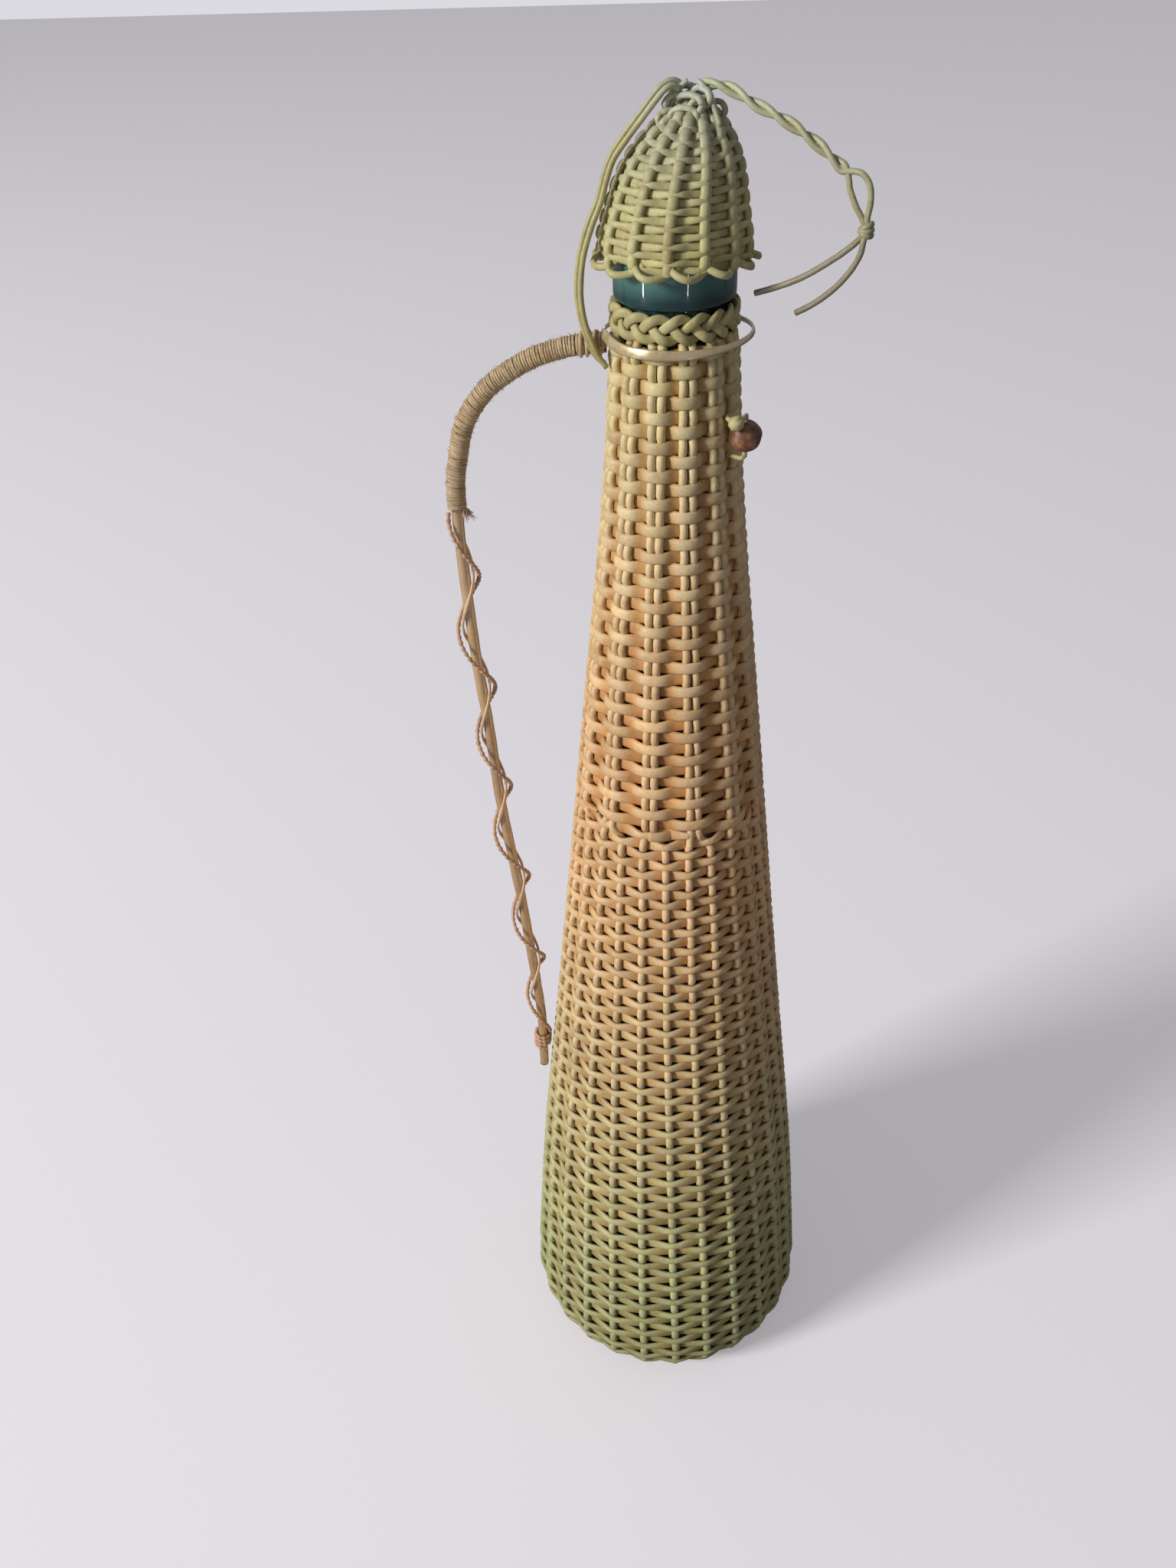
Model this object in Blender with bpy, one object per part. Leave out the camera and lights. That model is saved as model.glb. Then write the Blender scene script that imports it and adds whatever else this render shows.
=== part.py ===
"""Wicker-covered bottle: a tall glass bottle in a woven cane jacket, with a woven cap over its cork,
a cane handle, and a strap of two canes that ties the cap down and hooks over a bead.

Units are metres and +Z is up. The origin is the centre of the flat woven foot. The handle stands
at -X. The strap reaches out at the right, towards the front (-Y), over the side that has the bead.
"""

import math

import bmesh
import bpy
from mathutils import Vector

# Fits
CLEARANCE = 0.0003

# Glass bottle
GLASS_BODY_RADIUS = 0.0427
GLASS_NECK_RADIUS = 0.0113
GLASS_WALL = 0.0024
GLASS_BASE = 0.005
CORNER_ROUND = 0.0063
CORNER_RISE = 0.0072
FINISH_STEP = 0.0022
FINISH_HEIGHT = 0.013
LIP_ROUND = 0.0007

# Woven jacket
WEAVE_THICKNESS = 0.0032
BASE_THICKNESS = 0.0035
LOWER_WEAVE_LENGTH = 0.207
UPPER_WEAVE_LENGTH = 0.111
NECK_STRAND_LENGTH = 0.0103

# Ribs of the jacket, one over each stake below and one over each pair of stakes above
RIB_HEIGHT = 0.0011
STAKE_COUNT = 26
STAKE_AZIMUTH = math.radians(-106.2)
STAKE_LEAN = math.radians(7.5)
stake_rib_share, stake_valley_share = 0.27, 0.3
PAIR_COUNT = 13
PAIR_AZIMUTH = math.radians(-102.3)
PAIR_LEAN = math.radians(-2.8)
pair_rib_share, pair_valley_share = 0.42, 0.18

# Share of the way up the jacket, and share of the body's extra radius over the neck's there
taper_shares = (
    (0.0, 1.0),
    (0.18, 0.855),
    (0.39, 0.62),
    (0.57, 0.42),
    (0.72, 0.256),
    (0.86, 0.103),
    (0.93, 0.043),
    (1.0, 0.0),
)

# Collar and hoop round the neck
COLLAR_THICKNESS = 0.003
COLLAR_HEIGHT = 0.0066
COLLAR_ROUND = 0.0009
HOOP_DIAMETER = 0.0018
HOOP_STAND_OFF = 0.0004
HOOP_BULGE = 0.0012
HOOP_OPENING_WIDTH = 0.007

# Cap
GLASS_SHOWING = 0.0068
CAP_PLAY = 0.0006
CAP_WALL = 0.0026
DOME_HEIGHT = 0.0246
CAP_LEAN = 0.0034
BORDER_DIAMETER = 0.0017
LOBE_RISE = 0.0008
LOBE_COUNT = 13

# Share of the dome's height, and share of its foot radius there
dome_shares = (
    (0.0, 1.0),
    (0.25, 0.91),
    (0.45, 0.83),
    (0.62, 0.73),
    (0.76, 0.595),
    (0.88, 0.44),
    (0.96, 0.29),
    (1.0, 0.17),
)
LEAN_POWER = 1.5

# Cork
STOPPER_DEPTH = 0.018
STOPPER_TAPER = 0.0006
head_height_share = 0.96

# Knot on the cap's tip, which the strap swings about
KNOT_RADIUS = 0.0021
KNOT_HALF_LENGTH = 0.0026
knot_end_share = 0.7

# Handle
ROD_RADIUS = 0.0015
HANDLE_STAND_OFF = 0.0349
HANDLE_FOOT_HEIGHT = 0.1075
HANDLE_TOP_DROP = 0.0008
HANDLE_STEP = 0.0045

# Share of the handle's height, and share of its greatest stand-off from the jacket there
handle_shares = (
    (0.023, 0.066),
    (0.045, 0.086),
    (0.074, 0.1),
    (0.13, 0.155),
    (0.22, 0.268),
    (0.3, 0.37),
    (0.38, 0.485),
    (0.462, 0.6),
    (0.565, 0.715),
    (0.66, 0.835),
    (0.78, 0.955),
    (0.85, 1.0),
    (0.885, 0.985),
    (0.917, 0.945),
    (0.939, 0.872),
    (0.96, 0.758),
    (0.976, 0.606),
    (0.987, 0.462),
    (0.994, 0.316),
    (0.998, 0.19),
)

# Wrapping and windings on the handle
WRAP_THICKNESS = 0.00065
WRAP_LENGTH = 0.055
STRAND_RADIUS = 0.00045
TURN_GAP = 0.0006
LASHING_TURNS = 3
LASHING_SETBACK = 0.0012
SPIRAL_HALF_TURNS = 11
SPIRAL_RADIUS = 0.0036
FOOT_TURNS = 4
FOOT_TURNS_HEIGHT = 0.117
FRAYED_LENGTH = 0.0032
POINTS_PER_TURN = 24

# Bead and its tie
BEAD_RADIUS = 0.0037
BEAD_DROP = 0.018
BEAD_AZIMUTH = math.radians(-37)
BEAD_PLAY = 0.0003
TIE_RADIUS = 0.00055
TIE_BEND = 0.0014

# Strap: two canes tie the cap's tip to the neck, and a twisted pair ends in an eye, a knot and tails
CANE_RADIUS = 0.00065
CORD_RADIUS = 0.0013
STRAP_AZIMUTH = math.radians(-25)
STRAP_KNOT_SEMI_AXES = (0.0019, 0.0017, 0.0016)

TETHER_REAR_ROUTE = (
    (0.0012, 0.0009, 0.3942),
    (0.0002, 0.0003, 0.3953),
    (-0.0016, -0.0004, 0.3956),
    (-0.0037, -0.0009, 0.3943),
    (-0.0071, -0.0012, 0.3903),
    (-0.0106, -0.0013, 0.3861),
    (-0.0134, -0.0014, 0.3822),
    (-0.0151, -0.0016, 0.3779),
    (-0.0163, -0.0019, 0.3738),
    (-0.0182, -0.0023, 0.3697),
    (-0.0202, -0.0028, 0.3636),
    (-0.0211, -0.0033, 0.3573),
    (-0.0209, -0.0036, 0.3525),
    (-0.0198, -0.0038, 0.3474),
    (-0.0176, -0.0039, 0.3422),
    (-0.0154, -0.0039, 0.3399),
)
TETHER_FRONT_ROUTE = (
    (0.0003, -0.0009, 0.3942),
    (-0.0005, -0.0014, 0.3948),
    (-0.0016, -0.0021, 0.3948),
    (-0.0032, -0.0026, 0.3936),
    (-0.0064, -0.0029, 0.3899),
    (-0.0099, -0.003, 0.3857),
    (-0.0128, -0.0031, 0.3818),
    (-0.0144, -0.0033, 0.3776),
    (-0.0156, -0.0036, 0.3735),
    (-0.0174, -0.004, 0.3694),
    (-0.0194, -0.0045, 0.3633),
    (-0.0202, -0.005, 0.3572),
    (-0.02, -0.0053, 0.3524),
    (-0.0189, -0.0055, 0.3476),
    (-0.0167, -0.0055, 0.3423),
    (-0.0149, -0.0054, 0.3396),
)

# Routes in the strap's own upright plane: how far out from the cap's tip, how far beside, and height
CORD_ROUTE = (
    (0.0025, 0.0, 0.3948),
    (0.0047, 0.0, 0.3951),
    (0.0073, 0.0, 0.3946),
    (0.0106, 0.0, 0.3932),
    (0.0141, 0.0, 0.3916),
    (0.0175, 0.0, 0.3903),
    (0.0209, 0.0, 0.3888),
    (0.0238, 0.0, 0.3873),
    (0.0265, 0.0, 0.3857),
    (0.029, 0.0, 0.384),
    (0.0312, 0.0, 0.3824),
    (0.033, 0.0, 0.3811),
)
EYE_ROUTE = (
    (0.03375, 0.0, 0.3805),
    (0.0349, 0.0, 0.3811),
    (0.0364, 0.0, 0.3808),
    (0.0377, 0.0, 0.3796),
    (0.0384, 0.0, 0.378),
    (0.0386, 0.0, 0.3762),
    (0.0385, 0.0, 0.3745),
    (0.0379, 0.0, 0.3732),
    (0.0369, 0.0, 0.3729),
    (0.036, 0.0, 0.3741),
    (0.0352, 0.0, 0.3757),
    (0.0344, 0.0, 0.3774),
    (0.0337, 0.0, 0.379),
    (0.0335, 0.0, 0.3799),
)
STRAP_KNOT_PLACE = (0.0382, 0.0, 0.3704)
LONG_TAIL_ROUTE = (
    (0.037, 0.0004, 0.3687),
    (0.0359, 0.0004, 0.3675),
    (0.0344, 0.0004, 0.3662),
    (0.0328, 0.0004, 0.3649),
    (0.031, 0.0004, 0.3636),
    (0.0287, 0.0004, 0.362),
    (0.0262, 0.0004, 0.3604),
    (0.0234, 0.0004, 0.3589),
    (0.0205, 0.0004, 0.3576),
    (0.0177, 0.0004, 0.3565),
    (0.0149, 0.0004, 0.3555),
)
SHORT_TAIL_ROUTE = (
    (0.0382, -0.0012, 0.3684),
    (0.038, -0.0013, 0.3667),
    (0.0374, -0.0013, 0.365),
    (0.0363, -0.0013, 0.363),
    (0.035, -0.0013, 0.3612),
    (0.0334, -0.0013, 0.3593),
    (0.0315, -0.0013, 0.3575),
    (0.0294, -0.0013, 0.3558),
    (0.0272, -0.0013, 0.3543),
    (0.0249, -0.0013, 0.353),
)

# Mesh detail
SIDES = 32
CAP_SIDES = 28
WRAP_SIDES = 10
SMALL_SIDES = 14
CORNER_STEPS = 5
ARC_STEPS = 6
JACKET_STEP = 0.024
CURVE_PARTS = 12
SMOOTH_ANGLE = math.radians(35)

# Surface finishes: colour, roughness, metallic
STRAW = ((0.58, 0.47, 0.24), 0.55, 0.0)
TAN_CANE = ((0.62, 0.4, 0.2), 0.55, 0.0)
GREEN_CANE = ((0.5, 0.47, 0.25), 0.55, 0.0)
GLOSSY_CANE = ((0.66, 0.42, 0.16), 0.22, 0.0)
GOLD_HOOP = ((0.63, 0.5, 0.28), 0.2, 0.75)
DARK_WRAP = ((0.3, 0.22, 0.13), 0.7, 0.0)
COPPER_STRAND = ((0.5, 0.3, 0.14), 0.6, 0.0)
TEAL_GLASS = ((0.01, 0.075, 0.08), 0.06, 0.0)
CORK = ((0.4, 0.24, 0.12), 0.85, 0.0)
NUT_BROWN = ((0.16, 0.05, 0.025), 0.35, 0.0)


# Heights, worked out from the foot up
CORNER_TOP = BASE_THICKNESS + CLEARANCE + GLASS_BASE + CORNER_RISE
LOWER_TOP = CORNER_TOP + LOWER_WEAVE_LENGTH
UPPER_TOP = LOWER_TOP + UPPER_WEAVE_LENGTH
STRANDS_TOP = UPPER_TOP + NECK_STRAND_LENGTH
HOOP_HEIGHT = STRANDS_TOP + CLEARANCE + HOOP_DIAMETER / 2
COLLAR_BOTTOM = HOOP_HEIGHT + HOOP_DIAMETER / 2 + CLEARANCE
COLLAR_TOP = COLLAR_BOTTOM + COLLAR_HEIGHT
FINISH_BOTTOM = COLLAR_TOP + CLEARANCE
MOUTH = FINISH_BOTTOM + FINISH_HEIGHT
BORDER_HEIGHT = FINISH_BOTTOM + GLASS_SHOWING + LOBE_RISE + BORDER_DIAMETER / 2
CAP_EDGE = BORDER_HEIGHT + LOBE_RISE + BORDER_DIAMETER / 2 + CLEARANCE
DOME_FOOT = max(MOUTH, CAP_EDGE) + CLEARANCE
DOME_TOP = DOME_FOOT + DOME_HEIGHT
KNOT_CENTRE = Vector((CAP_LEAN, 0, DOME_TOP + CLEARANCE + KNOT_RADIUS))

# Radii, worked out from the glass out
BORE_RADIUS = GLASS_NECK_RADIUS - GLASS_WALL
NECK_JACKET_RADIUS = GLASS_NECK_RADIUS + CLEARANCE + WEAVE_THICKNESS
COLLAR_INNER_RADIUS = GLASS_NECK_RADIUS + CLEARANCE
FINISH_RADIUS = GLASS_NECK_RADIUS + FINISH_STEP
CAP_INNER_RADIUS = FINISH_RADIUS + CAP_PLAY
CAP_RADIUS = CAP_INNER_RADIUS + CAP_WALL
CORNER_CENTRE_RADIUS = GLASS_BODY_RADIUS - GLASS_WALL - CORNER_ROUND
WRAP_INNER_RADIUS = ROD_RADIUS + CLEARANCE
TURN_RADIUS = ROD_RADIUS + CLEARANCE + STRAND_RADIUS
TURN_PITCH = 2 * STRAND_RADIUS + TURN_GAP
HANDLE_TOP_HEIGHT = STRANDS_TOP - HANDLE_TOP_DROP


# Curves through shares and points
def hermite(a, b, slope_a, slope_b, t):
    """A smooth step from a to b, with the slopes given over the whole step."""
    return (
        (2 * t**3 - 3 * t**2 + 1) * a
        + (t**3 - 2 * t**2 + t) * slope_a
        + (3 * t**2 - 2 * t**3) * b
        + (t**3 - t**2) * slope_b
    )


def share_at(shares, along):
    """The share at a place along a table of shares, on a smooth curve through its rows."""
    along = min(max(along, shares[0][0]), shares[-1][0])
    row = max(i for i in range(len(shares) - 1) if shares[i][0] <= along)
    (x0, y0), (x1, y1) = shares[row], shares[row + 1]
    before = shares[max(row - 1, 0)]
    after = shares[min(row + 2, len(shares) - 1)]
    slope0 = (y1 - before[1]) / (x1 - before[0]) * (x1 - x0)
    slope1 = (after[1] - y0) / (after[0] - x0) * (x1 - x0)
    return hermite(y0, y1, slope0, slope1, (along - x0) / (x1 - x0))


def smooth_points(points, step):
    """Points at about the given step along a smooth curve through the given points."""
    fine = []
    for i in range(len(points) - 1):
        a, b = points[i], points[i + 1]
        before = points[max(i - 1, 0)]
        after = points[min(i + 2, len(points) - 1)]
        slope_a = (b - before) * (0.5 if i else 1)
        slope_b = (after - a) * (0.5 if i + 2 < len(points) else 1)
        fine += [hermite(a, b, slope_a, slope_b, k / CURVE_PARTS) for k in range(CURVE_PARTS)]
    fine.append(points[-1])
    travelled = [0.0]
    for a, b in zip(fine, fine[1:]):
        travelled.append(travelled[-1] + (b - a).length)
    count = max(2, round(travelled[-1] / step))
    spaced = []
    row = 0
    for k in range(count + 1):
        want = travelled[-1] * k / count
        while row < len(fine) - 2 and travelled[row + 1] < want:
            row += 1
        share = (want - travelled[row]) / (travelled[row + 1] - travelled[row])
        spaced.append(fine[row].lerp(fine[row + 1], min(share, 1.0)))
    return spaced


def arc(centre, radii, start, end, steps):
    """Outline points on a quarter or half ellipse: radius and height."""
    angles = [start + (end - start) * k / steps for k in range(steps + 1)]
    return [
        (centre[0] + radii[0] * math.cos(a), centre[1] + radii[1] * math.sin(a))
        for a in angles
    ]


# Objects
def finish_of(name, finish):
    colour, roughness, metallic = finish
    material = bpy.data.materials.new(name)
    material.use_nodes = True
    shader = material.node_tree.nodes["Principled BSDF"]
    shader.inputs["Base Color"].default_value = (*colour, 1)
    shader.inputs["Roughness"].default_value = roughness
    shader.inputs["Metallic"].default_value = metallic
    material.diffuse_color = (*colour, 1)
    return material


def add_object(name, data, finish, parent=None):
    obj = bpy.data.objects.new(name, data)
    data.materials.append(finish_of(name, finish))
    bpy.context.scene.collection.objects.link(obj)
    if parent is not None:
        obj.parent = parent
        obj.matrix_parent_inverse = parent.matrix_world.inverted()
    return obj


def add_pivot(name, place):
    """An empty on a joint's axis, which carries the pieces that move there."""
    pivot = bpy.data.objects.new(name, None)
    pivot.location = place
    bpy.context.scene.collection.objects.link(pivot)
    bpy.context.view_layer.update()
    return pivot


def add_mesh(name, bm, finish, parent=None):
    bmesh.ops.recalc_face_normals(bm, faces=bm.faces)
    mesh = bpy.data.meshes.new(name)
    bm.to_mesh(mesh)
    bm.free()
    mesh.shade_smooth()
    mesh.set_sharp_from_angle(angle=SMOOTH_ANGLE)
    return add_object(name, mesh, finish, parent)


def ring_of(bm, radius, height, shift, sides):
    if radius == 0:
        return [bm.verts.new((shift, 0, height))]
    turn = 2 * math.pi / sides
    return [
        bm.verts.new((shift + radius * math.cos(turn * k), radius * math.sin(turn * k), height))
        for k in range(sides)
    ]


def bridge(bm, lower, upper):
    """Faces between two rings, either of which may be a single point on the axis."""
    count = max(len(lower), len(upper))
    for k in range(count):
        after = (k + 1) % count
        if len(lower) == 1:
            bm.faces.new((lower[0], upper[after], upper[k]))
        elif len(upper) == 1:
            bm.faces.new((lower[k], lower[after], upper[0]))
        else:
            bm.faces.new((lower[k], lower[after], upper[after], upper[k]))


def turned(name, outline, finish, sides=SIDES, lean=None, parent=None):
    """A solid of revolution about Z. The outline ends on the axis at both ends, or closes on itself."""
    bm = bmesh.new()
    rings = [
        ring_of(bm, radius, height, lean(height) if lean else 0, sides)
        for radius, height in outline
    ]
    for lower, upper in zip(rings, rings[1:]):
        bridge(bm, lower, upper)
    if outline[0][0] and outline[-1][0]:
        bridge(bm, rings[-1], rings[0])
    return add_mesh(name, bm, finish, parent)


def cane(name, points, radius, finish, resolution=2, cyclic=False, parent=None):
    """A round cane along the points, with closed ends."""
    curve = bpy.data.curves.new(name, "CURVE")
    curve.dimensions = "3D"
    curve.bevel_depth = radius
    curve.bevel_resolution = resolution
    curve.use_fill_caps = True
    spline = curve.splines.new("POLY")
    spline.points.add(len(points) - 1)
    for spot, place in zip(spline.points, points):
        spot.co = (*place, 1)
    spline.use_cyclic_u = cyclic
    spline.use_smooth = True
    return add_object(name, curve, finish, parent)


def least_gap(points, radius, spread):
    """The least clear space between two turns of one winding, measured between its points."""
    least = math.inf
    for i, a in enumerate(points):
        for b in points[i + spread :]:
            least = min(least, (a - b).length - 2 * radius)
    return least


# Glass and jacket
def taper(height):
    along = (height - CORNER_TOP) / (STRANDS_TOP - CORNER_TOP)
    return share_at(taper_shares, along)


def glass_radius(height):
    return GLASS_NECK_RADIUS + (GLASS_BODY_RADIUS - GLASS_NECK_RADIUS) * taper(height)


def jacket_radius(height):
    return glass_radius(height) + CLEARANCE + WEAVE_THICKNESS


def heights_between(low, high):
    count = max(1, round((high - low) / JACKET_STEP))
    return [low + (high - low) * k / count for k in range(count + 1)]


def corner(radius, floor):
    """The rounded corner from a flat floor up to the widest height."""
    centre = (CORNER_CENTRE_RADIUS, CORNER_TOP)
    radii = (radius - CORNER_CENTRE_RADIUS, CORNER_TOP - floor)
    return arc(centre, radii, -math.pi / 2, 0, CORNER_STEPS)


def build_glass():
    outside_floor = BASE_THICKNESS + CLEARANCE
    inside_floor = outside_floor + GLASS_BASE
    walls = heights_between(CORNER_TOP, STRANDS_TOP)
    lip = (FINISH_RADIUS - LIP_ROUND, MOUTH - LIP_ROUND)
    outline = [(0, outside_floor)]
    outline += corner(GLASS_BODY_RADIUS, outside_floor)
    outline += [(glass_radius(z), z) for z in walls[1:]]
    outline += [(GLASS_NECK_RADIUS, FINISH_BOTTOM), (FINISH_RADIUS, FINISH_BOTTOM)]
    outline += arc(lip, (LIP_ROUND, LIP_ROUND), 0, math.pi / 2, 2)
    outline += [(BORE_RADIUS, MOUTH)]
    outline += [(glass_radius(z) - GLASS_WALL, z) for z in reversed(walls[1:])]
    outline += reversed(corner(GLASS_BODY_RADIUS - GLASS_WALL, inside_floor))
    outline += [(0, inside_floor)]
    turned("glass_bottle", outline, TEAL_GLASS)


def build_base_weave():
    outline = [(0, 0)] + corner(GLASS_BODY_RADIUS + CLEARANCE + WEAVE_THICKNESS, 0)
    outline += reversed(corner(GLASS_BODY_RADIUS + CLEARANCE, BASE_THICKNESS))
    outline += [(0, BASE_THICKNESS)]
    turned("base_weave", outline, GREEN_CANE)


class Ribs:
    """Ribs up one length of the jacket. Each takes the same share of the way to the next, and they
    lean by the first angle at the foot and by the second at the top."""

    def __init__(self, low, high, count, azimuth, leans, rib_share, valley_share):
        self.low, self.high = low, high
        self.count = count
        self.first = azimuth
        self.leans = leans
        self.edge = rib_share / 2
        self.fall = 0.5 - valley_share / 2

    def start(self, height):
        share = (height - self.low) / (self.high - self.low)
        return self.first + self.leans[0] + (self.leans[1] - self.leans[0]) * share

    def face_radius(self, height, azimuth):
        """The jacket's outer radius at any place on this length."""
        from_first = (azimuth - self.start(height)) * self.count / (2 * math.pi)
        from_rib = abs(from_first - round(from_first))
        depth = min(max((from_rib - self.edge) / (self.fall - self.edge), 0.0), 1.0)
        return jacket_radius(height) - RIB_HEIGHT * depth

    def ring(self, bm, height, depths):
        """Four points for each rib, at the given depths on the rib and in the valley beside it."""
        points = []
        for k in range(self.count):
            for share, depth in zip((-self.edge, self.edge, self.fall, 1 - self.fall), depths):
                angle = self.start(height) + 2 * math.pi * (k + share) / self.count
                reach = jacket_radius(height) - depth
                points.append(bm.verts.new((reach * math.cos(angle), reach * math.sin(angle), height)))
        return points


def lower_ribs():
    shares = (stake_rib_share, stake_valley_share)
    leans = (STAKE_LEAN, 0.0)
    return Ribs(CORNER_TOP + CLEARANCE, LOWER_TOP, STAKE_COUNT, STAKE_AZIMUTH, leans, *shares)


def upper_ribs():
    shares = (pair_rib_share, pair_valley_share)
    leans = (0.0, PAIR_LEAN)
    return Ribs(LOWER_TOP + CLEARANCE, UPPER_TOP, PAIR_COUNT, PAIR_AZIMUTH, leans, *shares)


def build_ribbed(name, ribs, finish):
    """A length of jacket, ribbed outside and plain towards the glass."""
    bm = bmesh.new()
    walls = heights_between(ribs.low, ribs.high)
    outside = [ribs.ring(bm, z, (0, 0, RIB_HEIGHT, RIB_HEIGHT)) for z in walls]
    inside = [ribs.ring(bm, z, [WEAVE_THICKNESS] * 4) for z in walls]
    for rings in (outside, inside):
        for lower, upper in zip(rings, rings[1:]):
            bridge(bm, lower, upper)
    bridge(bm, outside[0], inside[0])
    bridge(bm, outside[-1], inside[-1])
    add_mesh(name, bm, finish)


def build_neck_strands():
    walls = heights_between(UPPER_TOP + CLEARANCE, STRANDS_TOP)
    outline = [(jacket_radius(z), z) for z in walls]
    outline += [(jacket_radius(z) - WEAVE_THICKNESS, z) for z in reversed(walls)]
    turned("neck_strands", outline, STRAW)


def build_collar():
    outer = COLLAR_INNER_RADIUS + COLLAR_THICKNESS
    round_radius = outer - COLLAR_ROUND
    outline = [(COLLAR_INNER_RADIUS, COLLAR_BOTTOM)]
    corner_radii = (COLLAR_ROUND, COLLAR_ROUND)
    low_centre = (round_radius, COLLAR_BOTTOM + COLLAR_ROUND)
    high_centre = (round_radius, COLLAR_TOP - COLLAR_ROUND)
    outline += arc(low_centre, corner_radii, -math.pi / 2, 0, 2)
    outline += arc(high_centre, corner_radii, 0, math.pi / 2, 2)
    outline += [(COLLAR_INNER_RADIUS, COLLAR_TOP)]
    turned("neck_collar", outline, STRAW)


def build_hoop():
    radius = NECK_JACKET_RADIUS + HOOP_STAND_OFF
    opening = math.asin(HOOP_OPENING_WIDTH / 2 / radius)
    start = math.pi + opening
    sweep = 2 * math.pi - 2 * opening
    steps = SIDES
    points = []
    for k in range(steps + 1):
        angle = start + sweep * k / steps
        reach = radius + HOOP_BULGE * max(0.0, math.cos(angle)) ** 3
        points.append(Vector((reach * math.cos(angle), reach * math.sin(angle), HOOP_HEIGHT)))
    cane("neck_hoop", points, HOOP_DIAMETER / 2, GOLD_HOOP)


# Cap and cork
def cap_lean(height):
    along = min(max((height - DOME_FOOT) / DOME_HEIGHT, 0.0), 1.0)
    return CAP_LEAN * along**LEAN_POWER


def dome(radius, height):
    """Outline points of a dome of the given foot radius and height, from its foot to its top."""
    return [(radius * share, DOME_FOOT + height * along) for along, share in dome_shares]


def build_cap_cover(parent):
    outside = [(CAP_RADIUS, CAP_EDGE)] + dome(CAP_RADIUS, DOME_HEIGHT) + [(0, DOME_TOP)]
    inner_height = DOME_HEIGHT - CAP_WALL
    inside = dome(CAP_INNER_RADIUS, inner_height)
    outline = list(reversed(outside)) + [(CAP_INNER_RADIUS, CAP_EDGE)] + inside
    outline += [(0, DOME_FOOT + inner_height)]
    turned("cap_cover", outline, STRAW, CAP_SIDES, cap_lean, parent)


def build_cap_border(parent):
    steps = LOBE_COUNT * ARC_STEPS
    points = []
    for k in range(steps):
        angle = 2 * math.pi * k / steps
        wave = math.cos(LOBE_COUNT * angle)
        points.append(
            Vector(
                (
                    CAP_RADIUS * math.cos(angle),
                    CAP_RADIUS * math.sin(angle),
                    BORDER_HEIGHT + LOBE_RISE * wave,
                )
            )
        )
    cane("cap_border", points, BORDER_DIAMETER / 2, STRAW, 1, True, parent)


def build_cork(parent):
    top_radius = BORE_RADIUS - CLEARANCE
    head_foot = DOME_FOOT
    head_radius = CAP_INNER_RADIUS - CLEARANCE
    head_height = (DOME_HEIGHT - CAP_WALL) * head_height_share
    outline = [(0, MOUTH - STOPPER_DEPTH), (top_radius - STOPPER_TAPER, MOUTH - STOPPER_DEPTH)]
    outline += [(top_radius, MOUTH), (top_radius, head_foot)]
    outline += dome(head_radius, head_height) + [(0, head_foot + head_height)]
    turned("cork_stopper", outline, CORK, CAP_SIDES, cap_lean, parent)


def strap_directions():
    out = Vector((math.cos(STRAP_AZIMUTH), math.sin(STRAP_AZIMUTH), 0))
    return out, Vector((-out.y, out.x, 0))


def build_tip_knot(parent):
    """A barrel-shaped lashing across the tip. The strap's cord swings about its axis."""
    bm = bmesh.new()
    out, side = strap_directions()
    rings = []
    barrel_shares = ((-1.0, 0.0), (-1.0, knot_end_share), (0.0, 1.0), (1.0, knot_end_share), (1.0, 0.0))
    for along, width in barrel_shares:
        centre = KNOT_CENTRE + side * (along * KNOT_HALF_LENGTH)
        if width == 0:
            rings.append([bm.verts.new(centre)])
            continue
        turn = 2 * math.pi / SMALL_SIDES
        rings.append(
            [
                bm.verts.new(
                    centre
                    + out * (KNOT_RADIUS * width * math.cos(turn * k))
                    + Vector((0, 0, KNOT_RADIUS * width * math.sin(turn * k)))
                )
                for k in range(SMALL_SIDES)
            ]
        )
    for lower, upper in zip(rings, rings[1:]):
        bridge(bm, lower, upper)
    add_mesh("cap_tip_knot", bm, STRAW, parent)


# Handle
def handle_line():
    """The handle's centre line in its upright plane, from the neck down to its foot."""
    rise = HANDLE_TOP_HEIGHT - HANDLE_FOOT_HEIGHT
    foot = HANDLE_FOOT_HEIGHT
    spots = [(foot, ROD_RADIUS + CLEARANCE)]
    spots += [(foot + rise * up, HANDLE_STAND_OFF * out) for up, out in handle_shares]
    spots += [(HANDLE_TOP_HEIGHT, CLEARANCE)]
    points = [Vector((-jacket_radius(z) - stand_off, 0, z)) for z, stand_off in spots]
    return smooth_points(list(reversed(points)), HANDLE_STEP / 5)


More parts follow.
